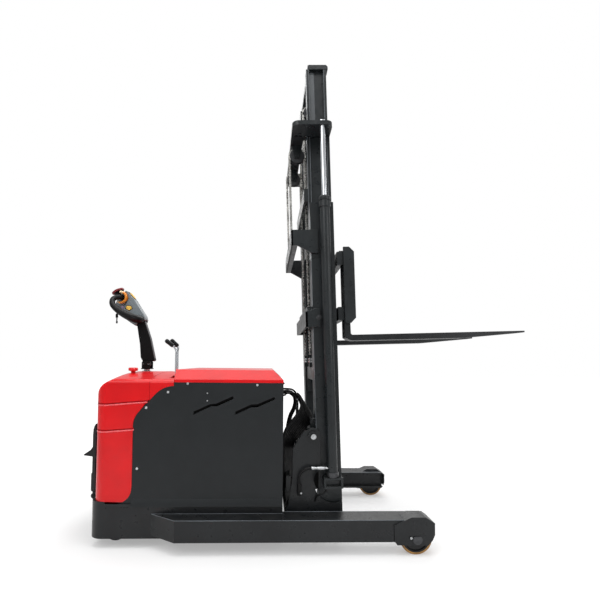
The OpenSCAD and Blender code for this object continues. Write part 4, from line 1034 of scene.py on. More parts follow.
@dataclass
class MastChains:
    """The four pairs of chains of the mast: straight runs between the stages, and wraps over
    the sheaves."""

    chain: LeafChain = field(default_factory=LeafChain)
    lift_y: float = 178.0
    fork_y: float = 130.0
    lift_sheave: tuple[float, float, float] = (-32.0, 1792.0, 50.0)
    fork_sheave: tuple[float, float, float] = (65.0, 2108.0, 45.0)
    outer_anchor_w: float = 1237.0
    inner_anchor_w: float = 492.0
    mid_anchor_w: float = 1520.0
    fork_anchor_w: float = 766.0
    # A distance in from each end of a run, where its end points are worked out
    end_l: float = 40.0

    def straight(self, name: str, u: float, y: float, low: float, high: float,
                 node: str) -> None:
        """A straight run between two stages.

        Args:
            name: the piece's name.
            u: its place in the mast's frame.
            y: its distance from the middle plane.
            low: its lower end.
            high: its upper end.
            node: the construction node that it replaces.
        """
        path = np.array([[u, low], [u, high]])
        shape = self.chain.run(path, y).both().moved(Place.MAST.matrix())
        made = keep_mesh(name, shape, CHAIN_STEEL, None)
        ends = np.array([[u, 0, low + self.end_l, 1],
                         [u, 0, high - self.end_l, 1]]) @ Place.MAST.matrix().T
        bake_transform(made)
        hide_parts(node)

    def wrapped(self, name: str, sheave: tuple[float, float, float], y: float, body: str) -> None:
        """The links over a sheave.

        Args:
            name: the piece's name.
            sheave: its axle's u and w, and its radius.
            y: its distance from the middle plane.
            body: the stage that carries it.
        """
        u, w, radius = sheave
        add_piece(name, self.chain.run(arc((u, w), radius, 0, 180, 24), y).both(), CHAIN_STEEL,
                  body, Place.MAST)

    def build(self) -> None:
        """Adds the runs and the wraps."""
        lift_u, lift_w, lift_r = self.lift_sheave
        fork_u, fork_w, fork_r = self.fork_sheave
        self.straight("chain_outer_rear_links", lift_u - lift_r, self.lift_y, self.outer_anchor_w,
                      lift_w, "chain_outer_rear")
        self.straight("chain_lift_front_links", lift_u + lift_r, self.lift_y, self.inner_anchor_w,
                      lift_w, "chain_lift_front")
        self.straight("chain_fork_rear_links", fork_u - fork_r, self.fork_y, self.mid_anchor_w,
                      fork_w, "chain_fork_rear")
        self.straight("chain_fork_front_links", fork_u + fork_r, self.fork_y, self.fork_anchor_w,
                      fork_w, "chain_fork_front")
        self.wrapped("chain_lift_wrap_links", self.lift_sheave, self.lift_y, "mid_mast")
        self.wrapped("chain_fork_wrap_links", self.fork_sheave, self.fork_y, "inner_mast")


def leaned(degrees: float) -> np.ndarray:
    """A turn about the axis across the machine, which leans the upward axis to the rear."""
    turn = math.radians(degrees)
    return np.array([[math.cos(turn), 0, -math.sin(turn)], [0, 1, 0],
                     [math.sin(turn), 0, math.cos(turn)]])


@dataclass
class Tiller:
    """Tiller: a black arm in its cuff, and a grey head with its loop handles and controls."""

    pivot: tuple[float, float, float] = (-912.0, 0.0, 1035.0)
    lean: float = 11.0
    arm_half_w: float = 28.0
    arm_outline: tuple[tuple[float, float], ...] = (
        (-24, 31), (46, 11), (58, 16), (54, 166), (37, 300), (-15, 300), (-17, 249), (-20, 139),
        (-30, 54))
    head_half_w: float = 40.0
    head_outline: tuple[tuple[float, float], ...] = (
        (-1061, 1533), (-1048, 1529), (-996, 1469), (-961, 1413), (-928, 1362), (-921, 1332),
        (-968, 1329), (-984, 1292), (-1018, 1313), (-1071, 1350), (-1090, 1375), (-1071, 1403),
        (-1039, 1477))
    core_half_w: float = 22.0
    core_outline: tuple[tuple[float, float], ...] = (
        (-1061, 1533), (-1085, 1515), (-1110, 1490), (-1128, 1450), (-1130, 1410), (-1117, 1385),
        (-1090, 1375), (-1040, 1385), (-1020, 1470))
    loop: tuple[tuple[float, float, float], ...] = (
        (-950, 34, 1338), (-968, 75, 1334), (-1000, 105, 1345), (-1045, 118, 1368),
        (-1085, 120, 1396), (-1115, 112, 1428), (-1121, 94, 1460), (-1108, 74, 1478),
        (-1088, 57, 1484), (-1084, 40, 1484), (-1084, 21, 1484))
    radii: tuple[float, ...] = (25, 28, 27, 24, 21, 19, 18, 17, 17, 17, 17)
    throttle: tuple[float, float, float] = (-1084.0, 1484.0, 44.0)
    button: tuple[float, float, float] = (-1121.0, 0.0, 1532.0)
    button_lean: float = 28.0
    button_r: float = 42.0
    body: str = "tiller"

    def build(self) -> None:
        """Adds the column, the arm, the head, the handles and the controls."""
        self.column()
        self.arm()
        self.head()
        self.handles()
        self.throttle_wings()
        self.buttons()
        self.key()

    def column(self) -> None:
        """The silver neck out of the cover, and the black cuff in which the arm swings."""
        x, _, z = self.pivot
        shaft = revolved([(0.01, 430), (30, 430), (30, 920), (19, 924), (19, z - 34),
                          (0.01, z - 34)], "z", 48)
        add_piece("column_neck", shaft.at(-915, 0, 0), SILVER, "steering", edge=Edge(0.6),
                  stands_for=("steering_column",))
        floor = box_shape((x - 31, x + 31), (-44, 44), (z - 33, z - 27))
        wall = np.array([(x - 27, z - 32), (x + 27, z - 32), (x + 28, z + 16), (x + 20, z + 24),
                         (x - 18, z + 24), (x - 27, z + 14)])
        band = box_shape((x - 27.5, x + 28.5), (42, 43.2), (z + 1, z + 2.6))
        add_piece("tiller_cuff", Shape.joined([floor, prism(wall, 34, 42).both()]), TILLER_BLACK,
                  "steering", edge=Edge(2.0, 3))
        add_piece("cuff_lines", band.both(), STEEL, "steering")
        ring = revolved([(20, 985), (31, 985), (31, 989), (28, 992), (20, 992)], "z", 48)
        add_piece("column_collar", ring.at(-915, 0, 0), SILVER, "chassis")

    def arm(self) -> None:
        """The arm's moulded shaft, its lug between the cuff's walls and its grey front strip."""
        frame_turn = spots([self.pivot], leaned(self.lean))
        shaft = prism(np.array(self.arm_outline), -self.arm_half_w, self.arm_half_w)
        lug = prism(np.vstack([arc((0, 0), 22, 180, 360, 16), [(22, 40), (-22, 40)]]), -24, 24)
        add_piece("tiller_shaft", repeated(shaft, frame_turn), TILLER_BLACK, self.body,
                  edge=Edge(5.0, 4, 25), stands_for=("tiller_arm",))
        pin = revolved([(0.01, -45), (9, -45), (11, -43), (11, 43), (9, 45), (0.01, 45)], "y", 24)
        add_piece("tiller_lug", repeated(Shape.joined([lug, pin]), frame_turn), TILLER_BLACK,
                  self.body, edge=Edge(0.8))
        strip = prism(np.array([(55.5, 30), (58.8, 30), (55.4, 166), (40, 288), (37.5, 288),
                                (52.5, 166)]), -17, 17)
        add_piece("tiller_strip", repeated(strip, frame_turn), STRIP_GREY, self.body,
                  edge=Edge(0.8))
        nicks = Shape.joined([box_shape((-22.5, -19), (-9, 9), (130, 141)),
                              box_shape((-20, -16.2), (-9, 9), (240, 252))])
        add_piece("tiller_catches", repeated(nicks, frame_turn), SILVER, self.body, edge=Edge(0.6))

    def head(self) -> None:
        """The head's moulded halves, its narrow rear part and the boss under the rear button."""
        shell = prism(np.array(self.head_outline), -self.head_half_w, self.head_half_w)
        add_piece("head_shell", shell, TILLER_GREY, self.body, edge=Edge(7.0, 5, 20),
                  stands_for=("tiller_head",))
        core = prism(np.array(self.core_outline), -self.core_half_w, self.core_half_w)
        add_piece("head_core", core, TILLER_GREY, self.body, edge=Edge(4.0, 3, 20))
        boss = revolved([(0.01, -46), (20, -46), (24, -30), (26, -16), (33, -9), (33, -6),
                         (0.01, -6)], "z", 40)
        add_piece("button_boss", repeated(boss, spots([self.button], leaned(self.button_lean))),
                  TILLER_BLACK, self.body)
        seam = np.array(self.head_outline)
        middle = seam.mean(0)
        seam = middle + (seam - middle) * 1.004
        add_piece("head_seam", prism(seam, -0.7, 0.7), TILLER_BLACK, self.body)

    def handles(self) -> None:
        """Loop handles that thin towards the throttle."""
        path = smooth_line(self.loop, 6)
        size = smooth_line(np.array(self.radii, float)[:, None], 6)[:, 0]
        handle = swept(path, circle(1.0, 28), size, hint=(0.45, 0.0, 0.9))
        add_piece("loop_handles", handle.both(), GRIP, self.body, stands_for=("tiller_grips",))

    def throttle_wings(self) -> None:
        """Orange wings curled round the handles' rear ends, with a pale lower lip.

        A wing's middle runs on a circle about the handle, and its section is a flat rounded bar.
        """
        x, z, radius = self.throttle
        turn = np.radians(np.linspace(97, -128, 40))
        spine = np.column_stack([x + (radius - 9) * np.cos(turn), np.full(40, 44.0),
                                 z + (radius - 9) * np.sin(turn)])
        bar = circle(1.0, 44)
        bar = np.sign(bar) * np.abs(bar) ** 0.8 * (19.0, 8.0)
        grow = 1 - 0.3 * np.linspace(0, 1, 40) ** 3
        wing = swept(spine, bar, grow, hint=(0, 1, 0))
        add_piece("throttle_wings", wing.both(), ORANGE, self.body, stands_for=("tiller_controls",))
        ends = [swept(spine[part], bar * 1.05, grow[part],
                      hint=(0, 1, 0)) for part in (slice(35, 40), slice(0, 7))]
        add_piece("throttle_lips", Shape.joined(ends).both(), CREAM, self.body)

    def buttons(self) -> None:
        """The reversing button with its red rim, the horn, the side buttons and the pads."""
        lean = spots([self.button], leaned(self.button_lean))
        r = self.button_r
        top = revolved([(0.01, -5), (r - 6, -5), (r - 5, 0), (r - 5, 5), (r - 9, 8.4),
                        (r - 22, 9.6), (0.01, 10)], "z", 64)
        add_piece("reversing_button", repeated(top, lean), BUTTON_DARK, self.body)
        rim = revolved([(r - 6, -8), (r - 3, -8), (r, -5), (r, 3), (r - 2, 5.4), (r - 6, 5.8)], "z",
                       64)
        add_piece("reversing_button_rim", repeated(rim, lean), BUTTON_RIM, self.body)
        start, end = np.array(self.head_outline[1], float), np.array(self.head_outline[2], float)
        along = (end - start) / np.linalg.norm(end - start)
        up = np.array([-along[1], along[0]])

        def raised(rows: Sequence[tuple[float, float]]) -> np.ndarray:
            """An outline from distances along the head's slope and above it."""
            return np.array([start + t * along + h * up for t, h in rows])

        horn = raised([(10, -1), (14, 5.5), (24, 8), (54, 8), (62, 5), (66, -1)])
        add_piece("horn_button", prism(horn, -15, 15), YELLOW, self.body, edge=Edge(2.4, 4))
        frame_outline = raised([(5, -1), (6, 2.4), (70, 2.4), (71, -1)])
        add_piece("horn_frame", prism(frame_outline, -20, 20), TILLER_BLACK, self.body,
                  edge=Edge(1.0))
        side = np.array([(-1053, 1411), (-1044, 1428), (-1020, 1426), (-1012, 1410), (-1030, 1397)])
        middle = side.mean(0)
        add_piece("side_button_frames", prism(middle + (side - middle) * 1.28, 38, 41.2).both(),
                  TILLER_BLACK, self.body, edge=Edge(1.0))
        add_piece("side_buttons", prism(side, 39, 44).both(), YELLOW, self.body, edge=Edge(2.0, 3))
        pad = np.array([(-1091, 1409), (-1074, 1404), (-1066, 1424), (-1078, 1432), (-1091, 1427)])
        add_piece("side_pads", prism(pad, 22, 24.4).both(), PAD, self.body, edge=Edge(0.8))

    def key(self) -> None:
        """The key that hangs at the head's rear."""
        bow = prism(np.array([(-1133, 1352), (-1124, 1346), (-1117, 1354), (-1118, 1376),
                              (-1125, 1382), (-1133, 1374)]),
                    -4, 4)
        ring = revolved([(6.5, -1), (8, 0), (6.5, 1)], "y", 24).at(-1124, 0, 1390)
        stem = prism(np.array([(-1128, 1326), (-1122, 1326), (-1121, 1350), (-1128, 1352)]), -3, 3)
        cap = prism(np.array([(-1130, 1312), (-1120, 1312), (-1119, 1328), (-1129, 1330)]), -4, 4)
        stem = Shape.joined([stem, cap])
        add_piece("key", Shape.joined([bow, stem, ring]), GRIP, self.body, edge=Edge(1.2))


@dataclass
class Platform:
    """Fold-up rider platform: a ribbed pan with a toe lip, two arms and a studded mat."""

    hinge: tuple[float, float] = (-1135.0, 240.0)
    half_w: float = 300.0
    inner_x: float = -1125.0
    outer_x: float = -1145.0
    foot_z: float = 269.0
    top_z: float = 674.0
    body: str = "platform"

    def build(self) -> None:
        """Adds the pan, its ribs, its arms and its mat."""
        inner, outer, foot, top = self.inner_x, self.outer_x, self.foot_z, self.top_z
        skin = np.array([(inner, foot), (inner, top), (inner - 4, top), (inner - 12, top - 12),
                         (outer + 2, top - 34), (outer, top - 66), (outer, foot + 266),
                         (outer - 12, foot + 248), (outer - 53, foot + 220),
                         (outer - 53, foot + 215), (outer, foot + 208), (outer, foot + 114),
                         (outer - 5, foot + 104), (outer - 5, foot + 8), (outer, foot)])
        add_piece("platform_pan", prism(skin, -self.half_w, self.half_w), DECK, self.body,
                  edge=Edge(2.5, 3, 25), stands_for=("platform_deck",))
        hx, hz = self.hinge
        arm = np.array([(outer, foot + 4), (hx - 17, foot - 8), *arc((hx, hz), 17, 180, 360, 14),
                        (hx + 17, foot - 2), (inner, foot + 12)])
        add_piece("platform_arms", prism(arm, self.half_w - 50, self.half_w - 30).both(), DECK,
                  self.body, edge=Edge(1.5))
        pin = revolved([(0.01, 245), (8, 245), (8, 292), (11, 292), (11, 297), (0.01, 297)], "y",
                       24).at(hx, 0, hz)
        add_piece("platform_pins", pin.both(), GRIP, self.body)
        knob = revolved([(0.01, 181), (9, 183), (12, 190), (12, 206), (9, 213), (0.01, 215)], "z",
                        24)
        add_piece("platform_knobs", knob.at(-1107, 285, 0).both(), GRIP, "chassis")
        rows, columns = np.meshgrid(np.arange(15), np.arange(21), indexing="ij")
        places = np.column_stack([
            np.full(rows.size, inner), (columns.ravel() - 10) * 27.0,
            foot + 20 + rows.ravel() * 26.0])
        stud = revolved([(0.01, 0.5), (7, 0.5), (6.2, 2.6), (0.01, 2.8)], "z", 10)
        mat = box_shape((inner, inner + 1.4), (-self.half_w + 12, self.half_w - 12),
                        (foot + 8, top - 12))
        studs = repeated(stud, spots(places, facing((1, 0, 0))))
        add_piece("platform_mat", Shape.joined([mat, studs]), MAT, self.body)


@dataclass
class MastBrackets:
    """The outer mast's brackets, the inner mast's rounded caps, the mast's grey strips, and light
    lines painted along its rails' edges as highlights.
    """

    side_y: tuple[float, float] = (380.0, 395.0)
    upper_w: tuple[float, float] = (1142.0, 1238.0)
    middle_w: tuple[float, float] = (648.0, 759.0)
    foot_w: tuple[float, float] = (-540.0, -440.0)
    # Each painted edge highlight's u, y, lower end and upper end: three of each stage
    rail_edge_highlights: tuple[tuple[float, ...], ...] = (
        (36, 255.6, 240, 2325), (52, 255.6, 240, 2325), (148, 255.6, 240, 2325),
        (22, 316.4, 120, 1850), (40, 316.4, 120, 1850), (147, 316.4, 120, 1850),
        (22, 379.4, 780, 1130), (22, 379.4, 1250, 1300), (22, 379.4, -400, 640))

    def build(self) -> None:
        """Adds the brackets, the caps, the strips and the highlights painted along the rails' edges."""
        low, high = self.upper_w
        inner_y, outer_y = self.side_y
        ear = np.array([(-98, low), (-98, high), (65, high), (65, low - 47), (21, low - 47),
                        (-60, low)])
        upper = [prism(ear, inner_y, outer_y).both(),
                 box_shape((-98, -86), (-outer_y, outer_y), (low, high)),
                 box_shape((-98, -60), (-inner_y, inner_y), (low, low + 12)),
                 box_shape((-98, -66), (162, 194), (high - 12, high)).both()]
        low, high = self.middle_w
        ear = np.array([(-24, low), (-24, high - 18), (33, high), (65, high), (65, low)])
        middle = [prism(ear, inner_y, outer_y).both(),
                  box_shape((-24, -10), (-outer_y, outer_y), (low, high - 18)),
                  box_shape((-10, 21), (322, 380), (low, high)).both()]
        foot = [box_shape((-24, -10), (-inner_y, inner_y), self.foot_w),
                box_shape((-10, 21), (322, 380), self.foot_w).both()]
        add_piece("mast_brackets", Shape.joined([*upper, *middle, *foot]), MAST_PAINT, "outer_mast",
                  Place.MAST, Edge(1.5), ("outer_brackets",))
        half = np.array([(35, 200), (53, 200), (53, 222), (147, 222), (147, 200), (165, 200),
                         (165, 256), (147, 256), (147, 234), (53, 234), (53, 256), (35, 256)])
        rails = prism(half, 222, 2328, "z").both()
        roller = revolved([(0.01, 232), (18, 232), (18, 259), (51.5, 259), (53.6, 262), (53.6, 275),
                           (51.5, 278), (20, 278), (18, 276), (0.01, 276)], "y", 40).at(93, 0, 282)
        add_piece("inner_beams", rails, MAST_PAINT, "inner_mast", Place.MAST, Edge(1.5),
                  ("inner_rails",))
        add_piece("inner_rollers", roller.both(), DARK_STEEL, "inner_mast", Place.MAST)
        # Thin light lines along the rails' edges: painted highlights.
        lines = [swept(np.array([(u, y, low), (u, y, high)], float), circle(1.3, 8), hint=(0, 1, 0))
                 for u, y, low, high in self.rail_edge_highlights]
        add_piece("inner_edge_highlights", Shape.joined(lines[:3]).both(), EDGE_HIGHLIGHT, "inner_mast",
                  Place.MAST)
        add_piece("mid_edge_highlights", Shape.joined(lines[3:6]).both(), EDGE_HIGHLIGHT, "mid_mast",
                  Place.MAST)
        add_piece("outer_edge_highlights", Shape.joined(lines[6:]).both(), EDGE_HIGHLIGHT, "outer_mast",
                  Place.MAST)
        cap = np.array([(45, 2326), (45, 2348), (55, 2358), (166, 2358), (177, 2347), (177, 2326)])
        add_piece("inner_caps", prism(cap, 196, 258).both(), MAST_PAINT, "inner_mast", Place.MAST,
                  Edge(3.0, 3))
        strip = prism(np.vstack([[(57, 700), (88, 700)], arc((72.5, 2305), 15.5, 0, 180, 12)]), 234,
                      236)
        add_piece("mast_strips", strip.both(), STRIP_GREY, "inner_mast", Place.MAST)


@dataclass
class Cover:
    """Moulded rear cover: a rounded rear edge, two grooves with painted shade and lips painted as
    highlights, and a seam.
    """

    length: float = 1078.0
    half_w: float = 466.0
    corner_r: float = 75.0
    crown_z: float = 988.0
    crown_r: float = 2857.0
    edge_r: float = 130.0
    old_edge_r: float = 90.0
    wall: float = 5.0
    cuts: int = 20
    depth: float = 180.0
    # Each groove's height in the node, its height and place where it meets the side panel, and its
    # slope
    grooves: tuple[tuple[float, ...], ...] = ((822.0, 830.0, -776.0, 0.086),
                                              (668.0, 672.0, -850.0, 0.080))
    seam_x: float = -766.0

    def build(self) -> None:
        """Adds the cover, its lips painted as highlights, the shade painted in its grooves, and its seam."""
        shape = self.rounded(self.cut_finely())
        keep_solid("cover_finished", shape.moved(Place.MACHINE.matrix()), RED, "chassis",
                   Edge(1.6, 3, 30), ("rear_cowl",))
        # The lips below the grooves are painted in a lighter red as highlights.
        lips = [self.band(x, z - 8.0, slope, (2.8, 3.8)) for _, z, x, slope in self.grooves]
        add_piece("cover_lips", Shape.joined(lips), RED_HIGHLIGHT, "chassis")
        # Dark red bands painted into the grooves as shade.
        shades = [self.band(x, z, slope, (0.7, 3.6)) for _, z, x, slope in self.grooves]
        add_piece("cover_groove_shade", Shape.joined(shades), RED_SHADE, "chassis")
        y = np.concatenate([[-466.2, -466.2], np.linspace(-455, 455, 41), [466.2, 466.2]])
        z = np.concatenate([[820, 935], self.crown_z - y[2:-2] ** 2 / (2 * self.crown_r) - 0.2,
                            [935, 820]])
        z[2], z[-3] = 948, 948
        path = np.column_stack([np.full(len(y), self.seam_x), y, z])
        add_piece("cover_seam", swept(path, circle(1.0, 8), hint=(1, 0, 0)), RED_SHADE, "chassis")

    def cut_finely(self) -> Shape:
        """The node's mesh with extra edges across its rear top edge, in the machine's frame."""
        source = node_in("rear_cowl", Place.MACHINE)
        reach = self.edge_r + 14
        shares = [step / self.cuts for step in range(1, self.cuts)]
        planes = [((-self.length + reach * share, 0, 0), (1, 0, 0)) for share in shares]
        planes += [((0, 0, self.crown_z - self.depth * (1 - share)), (0, 0, 1)) for share in shares]
        planes += [((0, step * 54.0, 0), (0, 1, 0)) for step in range(-8, 9)]
        return sliced(source, planes)

    def rounded(self, shape: Shape) -> Shape:
        """Pulls the rear face in under the crown so that it rounds over at every place across.

        At a distance y from the middle the crown is y squared over twice its radius lower, and the
        rear edge is an arc that ends at that height. Points of the inner skin stay a wall's
        thickness in.

        Args:
            shape: the finely cut cover.

        Returns:
            The rounded cover.
        """
        x, y, z = shape.points.T
        reach = self.half_w - self.corner_r
        over = np.maximum(np.abs(y) - reach, 0)
        plan = np.hypot(np.minimum(x + self.length - self.corner_r, 0), over)
        gone = np.hypot(np.minimum(x + self.length - self.old_edge_r, 0),
                        np.maximum(z - self.crown_z + self.old_edge_r, 0))
        outside = (plan > self.corner_r - 2.5) | (gone > self.old_edge_r - 2.5)
        top = self.crown_z - y ** 2 / (2 * self.crown_r)
        rise = np.clip(z - (top - self.edge_r), 0, self.edge_r)
        least = -self.length + self.edge_r - np.sqrt(np.maximum(self.edge_r ** 2 - rise ** 2, 0))
        least = np.where(outside, least, least + self.wall + 1.0)
        moved = shape.points.copy()
        near = (z > self.crown_z - self.depth) & (x < -self.length + self.edge_r + 20)
        moved[:, 0] = np.where(near, np.maximum(x, least), x)
        for old_z, high_z, end_x, slope in self.grooves:
            at = np.maximum(x, -self.length + self.corner_r)
            moved[:, 2] += np.where(np.abs(z - old_z) < 9, high_z - old_z + slope * (at - end_x), 0)
        return Shape(moved, shape.corners, shape.counts)

    def band(self, start_x: float, z: float, slope: float, size: tuple[float, float]) -> Shape:
        """A rounded band along the cover's outline.

        Args:
            start_x: where it starts and ends on the sides.
            z: its height there.
            slope: how it falls towards the rear.
            size: half of its depth and half of its height.

        Returns:
            The band.
        """
        corner = self.corner_r
        side = [(start_x, -self.half_w), (-950.0, -self.half_w)]
        rear = arc((-self.length + corner, -self.half_w + corner), corner, 270, 180, 12)
        half = np.vstack([side, rear])
        whole = np.vstack([half, half[::-1] * (1, -1)])
        height = z + slope * (np.maximum(whole[:, 0], -self.length + corner) - start_x)
        return swept(np.column_stack([whole, height]), circle(1.0, 12) * size[::-1], hint=(0, 0, 1))


@dataclass
class CylinderFittings:
    """The lift cylinders' glands and feet, their elbow hoses and the reach carriage's bundle."""

    def build(self) -> None:
        """Adds the glands, the elbow hoses and the bundle."""
        gland = revolved([(17, 1398), (34, 1398), (35, 1400), (35, 1418), (33, 1421), (26, 1423),
                          (25, 1427), (17, 1427)],
                         "z", 48).at(105, -430, 0)
        add_piece("cylinder_glands", gland.both(), MAST_PAINT, "outer_mast", Place.MAST)
        collar = revolved([(31, -232), (36, -232), (36, -206), (31, -204)], "z",
                          48).at(105, -430, 0)
        add_piece("cylinder_collars", collar.both(), DARK_STEEL, "outer_mast", Place.MAST)
        nut = repeated(hexagon(10, 7), spots([(105, -430, 1879)])).both()
        add_piece("rod_nuts", nut, DARK_STEEL, "mid_mast", Place.MAST)
        self.elbow()
        self.bundle()

    def elbow(self) -> None:
        """A bright fitting along x, a hose that bends down from it and a black end on the plate."""
        fitting = revolved([(0.01, 168), (9.5, 168), (10, 170), (10, 186), (8.4, 188), (8.4, 200),
                            (10, 202), (10, 244), (8, 247), (5.5, 248), (5.5, 268), (0.01, 268)],
                            "x", 24).at(0, -436, 442)
        add_piece("cylinder_ports", fitting.both(), STEEL, "outer_mast")
        hose = swept(smooth_line([(170, -436, 442), (146, -436, 439), (118, -435, 424),
                                  (102, -433, 404), (95, -432, 380), (96, -431, 350)], 6),
                                  circle(7.5, 18), hint=(0, 1, 0))
        made = keep_mesh("elbow_hoses", hose.both().moved(Place.MACHINE.matrix()), RUBBER, None)
        ends = np.array([[100, 0, 400, 1], [165, 0, 440, 1]]) @ Place.MACHINE.matrix().T
        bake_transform(made)
        sleeve = revolved([(0.01, 352), (11, 352), (13, 348), (13, 318), (11.5, 316), (11.5, 286),
                           (9, 283), (0.01, 283)],
                          "z", 24).at(98, -431, 0)
        add_piece("elbow_sleeves", sleeve.both(), RUBBER, "reach_carriage")
        spot = revolved([(0.01, 0), (6, 0), (5, 3), (0.01, 4)], "z", 20)
        add_piece("elbow_screws",
                  repeated(spot, spots([(108, -443, 300)], facing((0, -1, 0)))).both(), STEEL,
                  "reach_carriage")

    def bundle(self) -> None:
        """The dense bundle of hoses that hangs behind the reach carriage's plate."""
        fall = np.array([(86, 866), (105, 848), (118, 812), (112, 772), (88, 732), (56, 694),
                         (28, 656), (12, 610), (9, 540), (10, 430), (12, 320), (20, 216)], float)
        count = len(fall)
        drift = np.column_stack([np.interp(np.arange(count), [0, 3, 6, 8, count - 1],
                                           [4, 9, 9, 7, 4]),
                                 np.interp(np.arange(count), [0, 3, 6, 8, count - 1],
                                           [-9, -9, -9, -4, 0])])
        mass = []
        for number in range(9):
            flat = fall + drift * number
            path = np.insert(flat, 1, -318.0 + number * 12, axis=1)
            mass.append(swept(smooth_line(path, 5), circle(9.5, 16), hint=(0.02, 1, 0)))
        add_piece("hose_bundle", Shape.joined(mass), RUBBER, "reach_carriage")


@dataclass
class Levers:
    """Hydraulic levers: bright rods with moulded grips that lean back, in rubber boots."""

    x: float = -637.0
    # Each lever's y, and the x and z of its grip's lower and upper ends
    grips: tuple[tuple[float, ...], ...] = (
        (-380.0, -659.0, 1150.0, -699.0, 1181.0), (-340.0, -640.0, 1151.0, -677.0, 1185.0))
    foot_z: float = 905.0
    bend_z: float = 1118.0

    def build(self) -> None:
        """Adds the rods, the grips and the boots."""
        rods, grips, boots = [], [], []
        boot = revolved([(22, 0), (22, 5), (15, 8), (17, 13), (12, 17), (13.5, 22), (8.5, 27),
                         (6.6, 28)], "z", 32)
        for y, low_x, low_z, high_x, high_z in self.grips:
            low, high = np.array([low_x, y, low_z]), np.array([high_x, y, high_z])
            length = float(np.linalg.norm(high - low))
            toward = (high - low) / length
            route = [(self.x, y, self.foot_z), (self.x, y, self.bend_z - 30),
                     (self.x, y, self.bend_z), low - toward * 6, low + toward * 20]
            rods.append(swept(smooth_line(route, 6), circle(6.0, 20), hint=(0, 1, 0)))
            grip = revolved([(0.01, -6), (9, -6), (11.6, -2), (13, 5), (12.2, length * 0.4),
                             (13.2, length * 0.7), (13, length - 6), (10.5, length),
                             (5, length + 3), (0.01, length + 3)], "z", 32)
            grips.append(repeated(grip, spots([low], facing(toward))))
            boots.append(boot.at(self.x, y, self.foot_z + 4))
        add_piece("lever_rods", Shape.joined(rods), CHROME, "chassis",
                  stands_for=("hydraulic_levers",))
        add_piece("lever_grips", Shape.joined(grips), GRIP, "chassis")
        add_piece("lever_boots", Shape.joined(boots), RUBBER, "chassis")


@dataclass
class Hoses:
    """Round hoses with crimped ends in the reach carriage and at the lift cylinders' feet."""

    thin_1: tuple[tuple[float, float, float], ...] = (
        (-530, -70, 880), (-200, -70, 880), (0, -70, 880), (36, -70, 880), (68, -68, 876),
        (90, -62, 862), (102, -56, 842), (106, -50, 820), (106, -50, 806.8))
    thin_2: tuple[tuple[float, float, float], ...] = (
        (-530, -110, 838), (-200, -110, 838), (0, -110, 838), (30, -110, 850), (60, -108, 856),
        (88, -102, 848), (104, -96, 830), (106, -90, 816), (106, -90, 806.8))
    thick: tuple[tuple[float, float, float], ...] = (
        (-530, 60, 838), (-200, 60, 838), (-20, 60, 842), (20, 60, 850), (62, 60, 848),
        (94, 60, 824), (104, 60, 786), (94, 60, 738), (70, 60, 686), (54, 60, 620), (48, 60, 540),
        (46, 60, 430), (46, 60, 386))
    cylinder: tuple[tuple[float, float, float], ...] = (
        (258, 428, 322), (250, 430, 306), (236, 432, 296), (218, 430, 290), (204, 424, 280),
        (196, 415, 264), (192, 410.4, 246))

    def build(self) -> None:
        """Adds every hose and its ends."""
        thin = [swept(smooth_line(route, 5), circle(6, 16), hint=(0.05, 1.0, 0.02))
                for route in (self.thin_1, self.thin_2)]
        path = smooth_line(self.thick, 8)
        turn = np.linspace(0, 2 * np.pi * 30, len(path))
        thick = swept(path, circle(15, 24), 1 - 0.045 * (np.cos(turn) > 0.3),
                      hint=(0.05, 1.0, 0.02))
        add_piece("carriage_hoses", Shape.joined([*thin, thick]), RUBBER, "reach_carriage",
                  stands_for=("feed_hoses",))
        crimp = revolved([(0.01, 0), (8.2, 0), (8.2, 6), (7.2, 7), (7.2, 20), (6.2, 22),
                          (0.01, 22)], "z", 24)
        places = [(106, -50, 805), (106, -90, 805)]
        add_piece("hose_crimps", repeated(crimp, spots(places)), STEEL, "reach_carriage")
        bent = swept(smooth_line(self.cylinder, 6), circle(5, 16), hint=(0.05, 0.2, 1.0)).both()
        made = keep_mesh("cylinder_hoses_round", bent.moved(Place.MACHINE.matrix()), RUBBER, None)
        ends = [np.append(self.cylinder[k], 1) @ Place.MACHINE.matrix().T for k in (-1, 0)]
        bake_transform(made)
        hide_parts("cylinder_hoses")


@dataclass
class StopButton:
    """Emergency button: a red mushroom on its black threaded base."""

    place: tuple[float, float] = (-944.0, -200.0)
    top_z: float = 1015.0

    def build(self) -> None:
        """Adds the mushroom and its base."""
        x, y = self.place
        top = self.top_z
        head = revolved([(0.01, top - 44), (12.5, top - 44), (13, top - 27), (16, top - 22),
                         (27, top - 20), (29, top - 17), (29, top - 5), (26.5, top - 1.5),
                         (20, top), (0.01, top - 1)], "z", 48)
        add_piece("stop_mushroom", head.at(x, y, 0), BUTTON_RED, "chassis",
                  stands_for=("emergency_button",))
        base = revolved([(0.01, top - 62), (17, top - 62), (17, top - 42), (15, top - 40),
                         (0.01, top - 40)], "z", 40)
        add_piece("stop_base", base.at(x, y, 0), GRIP, "chassis")


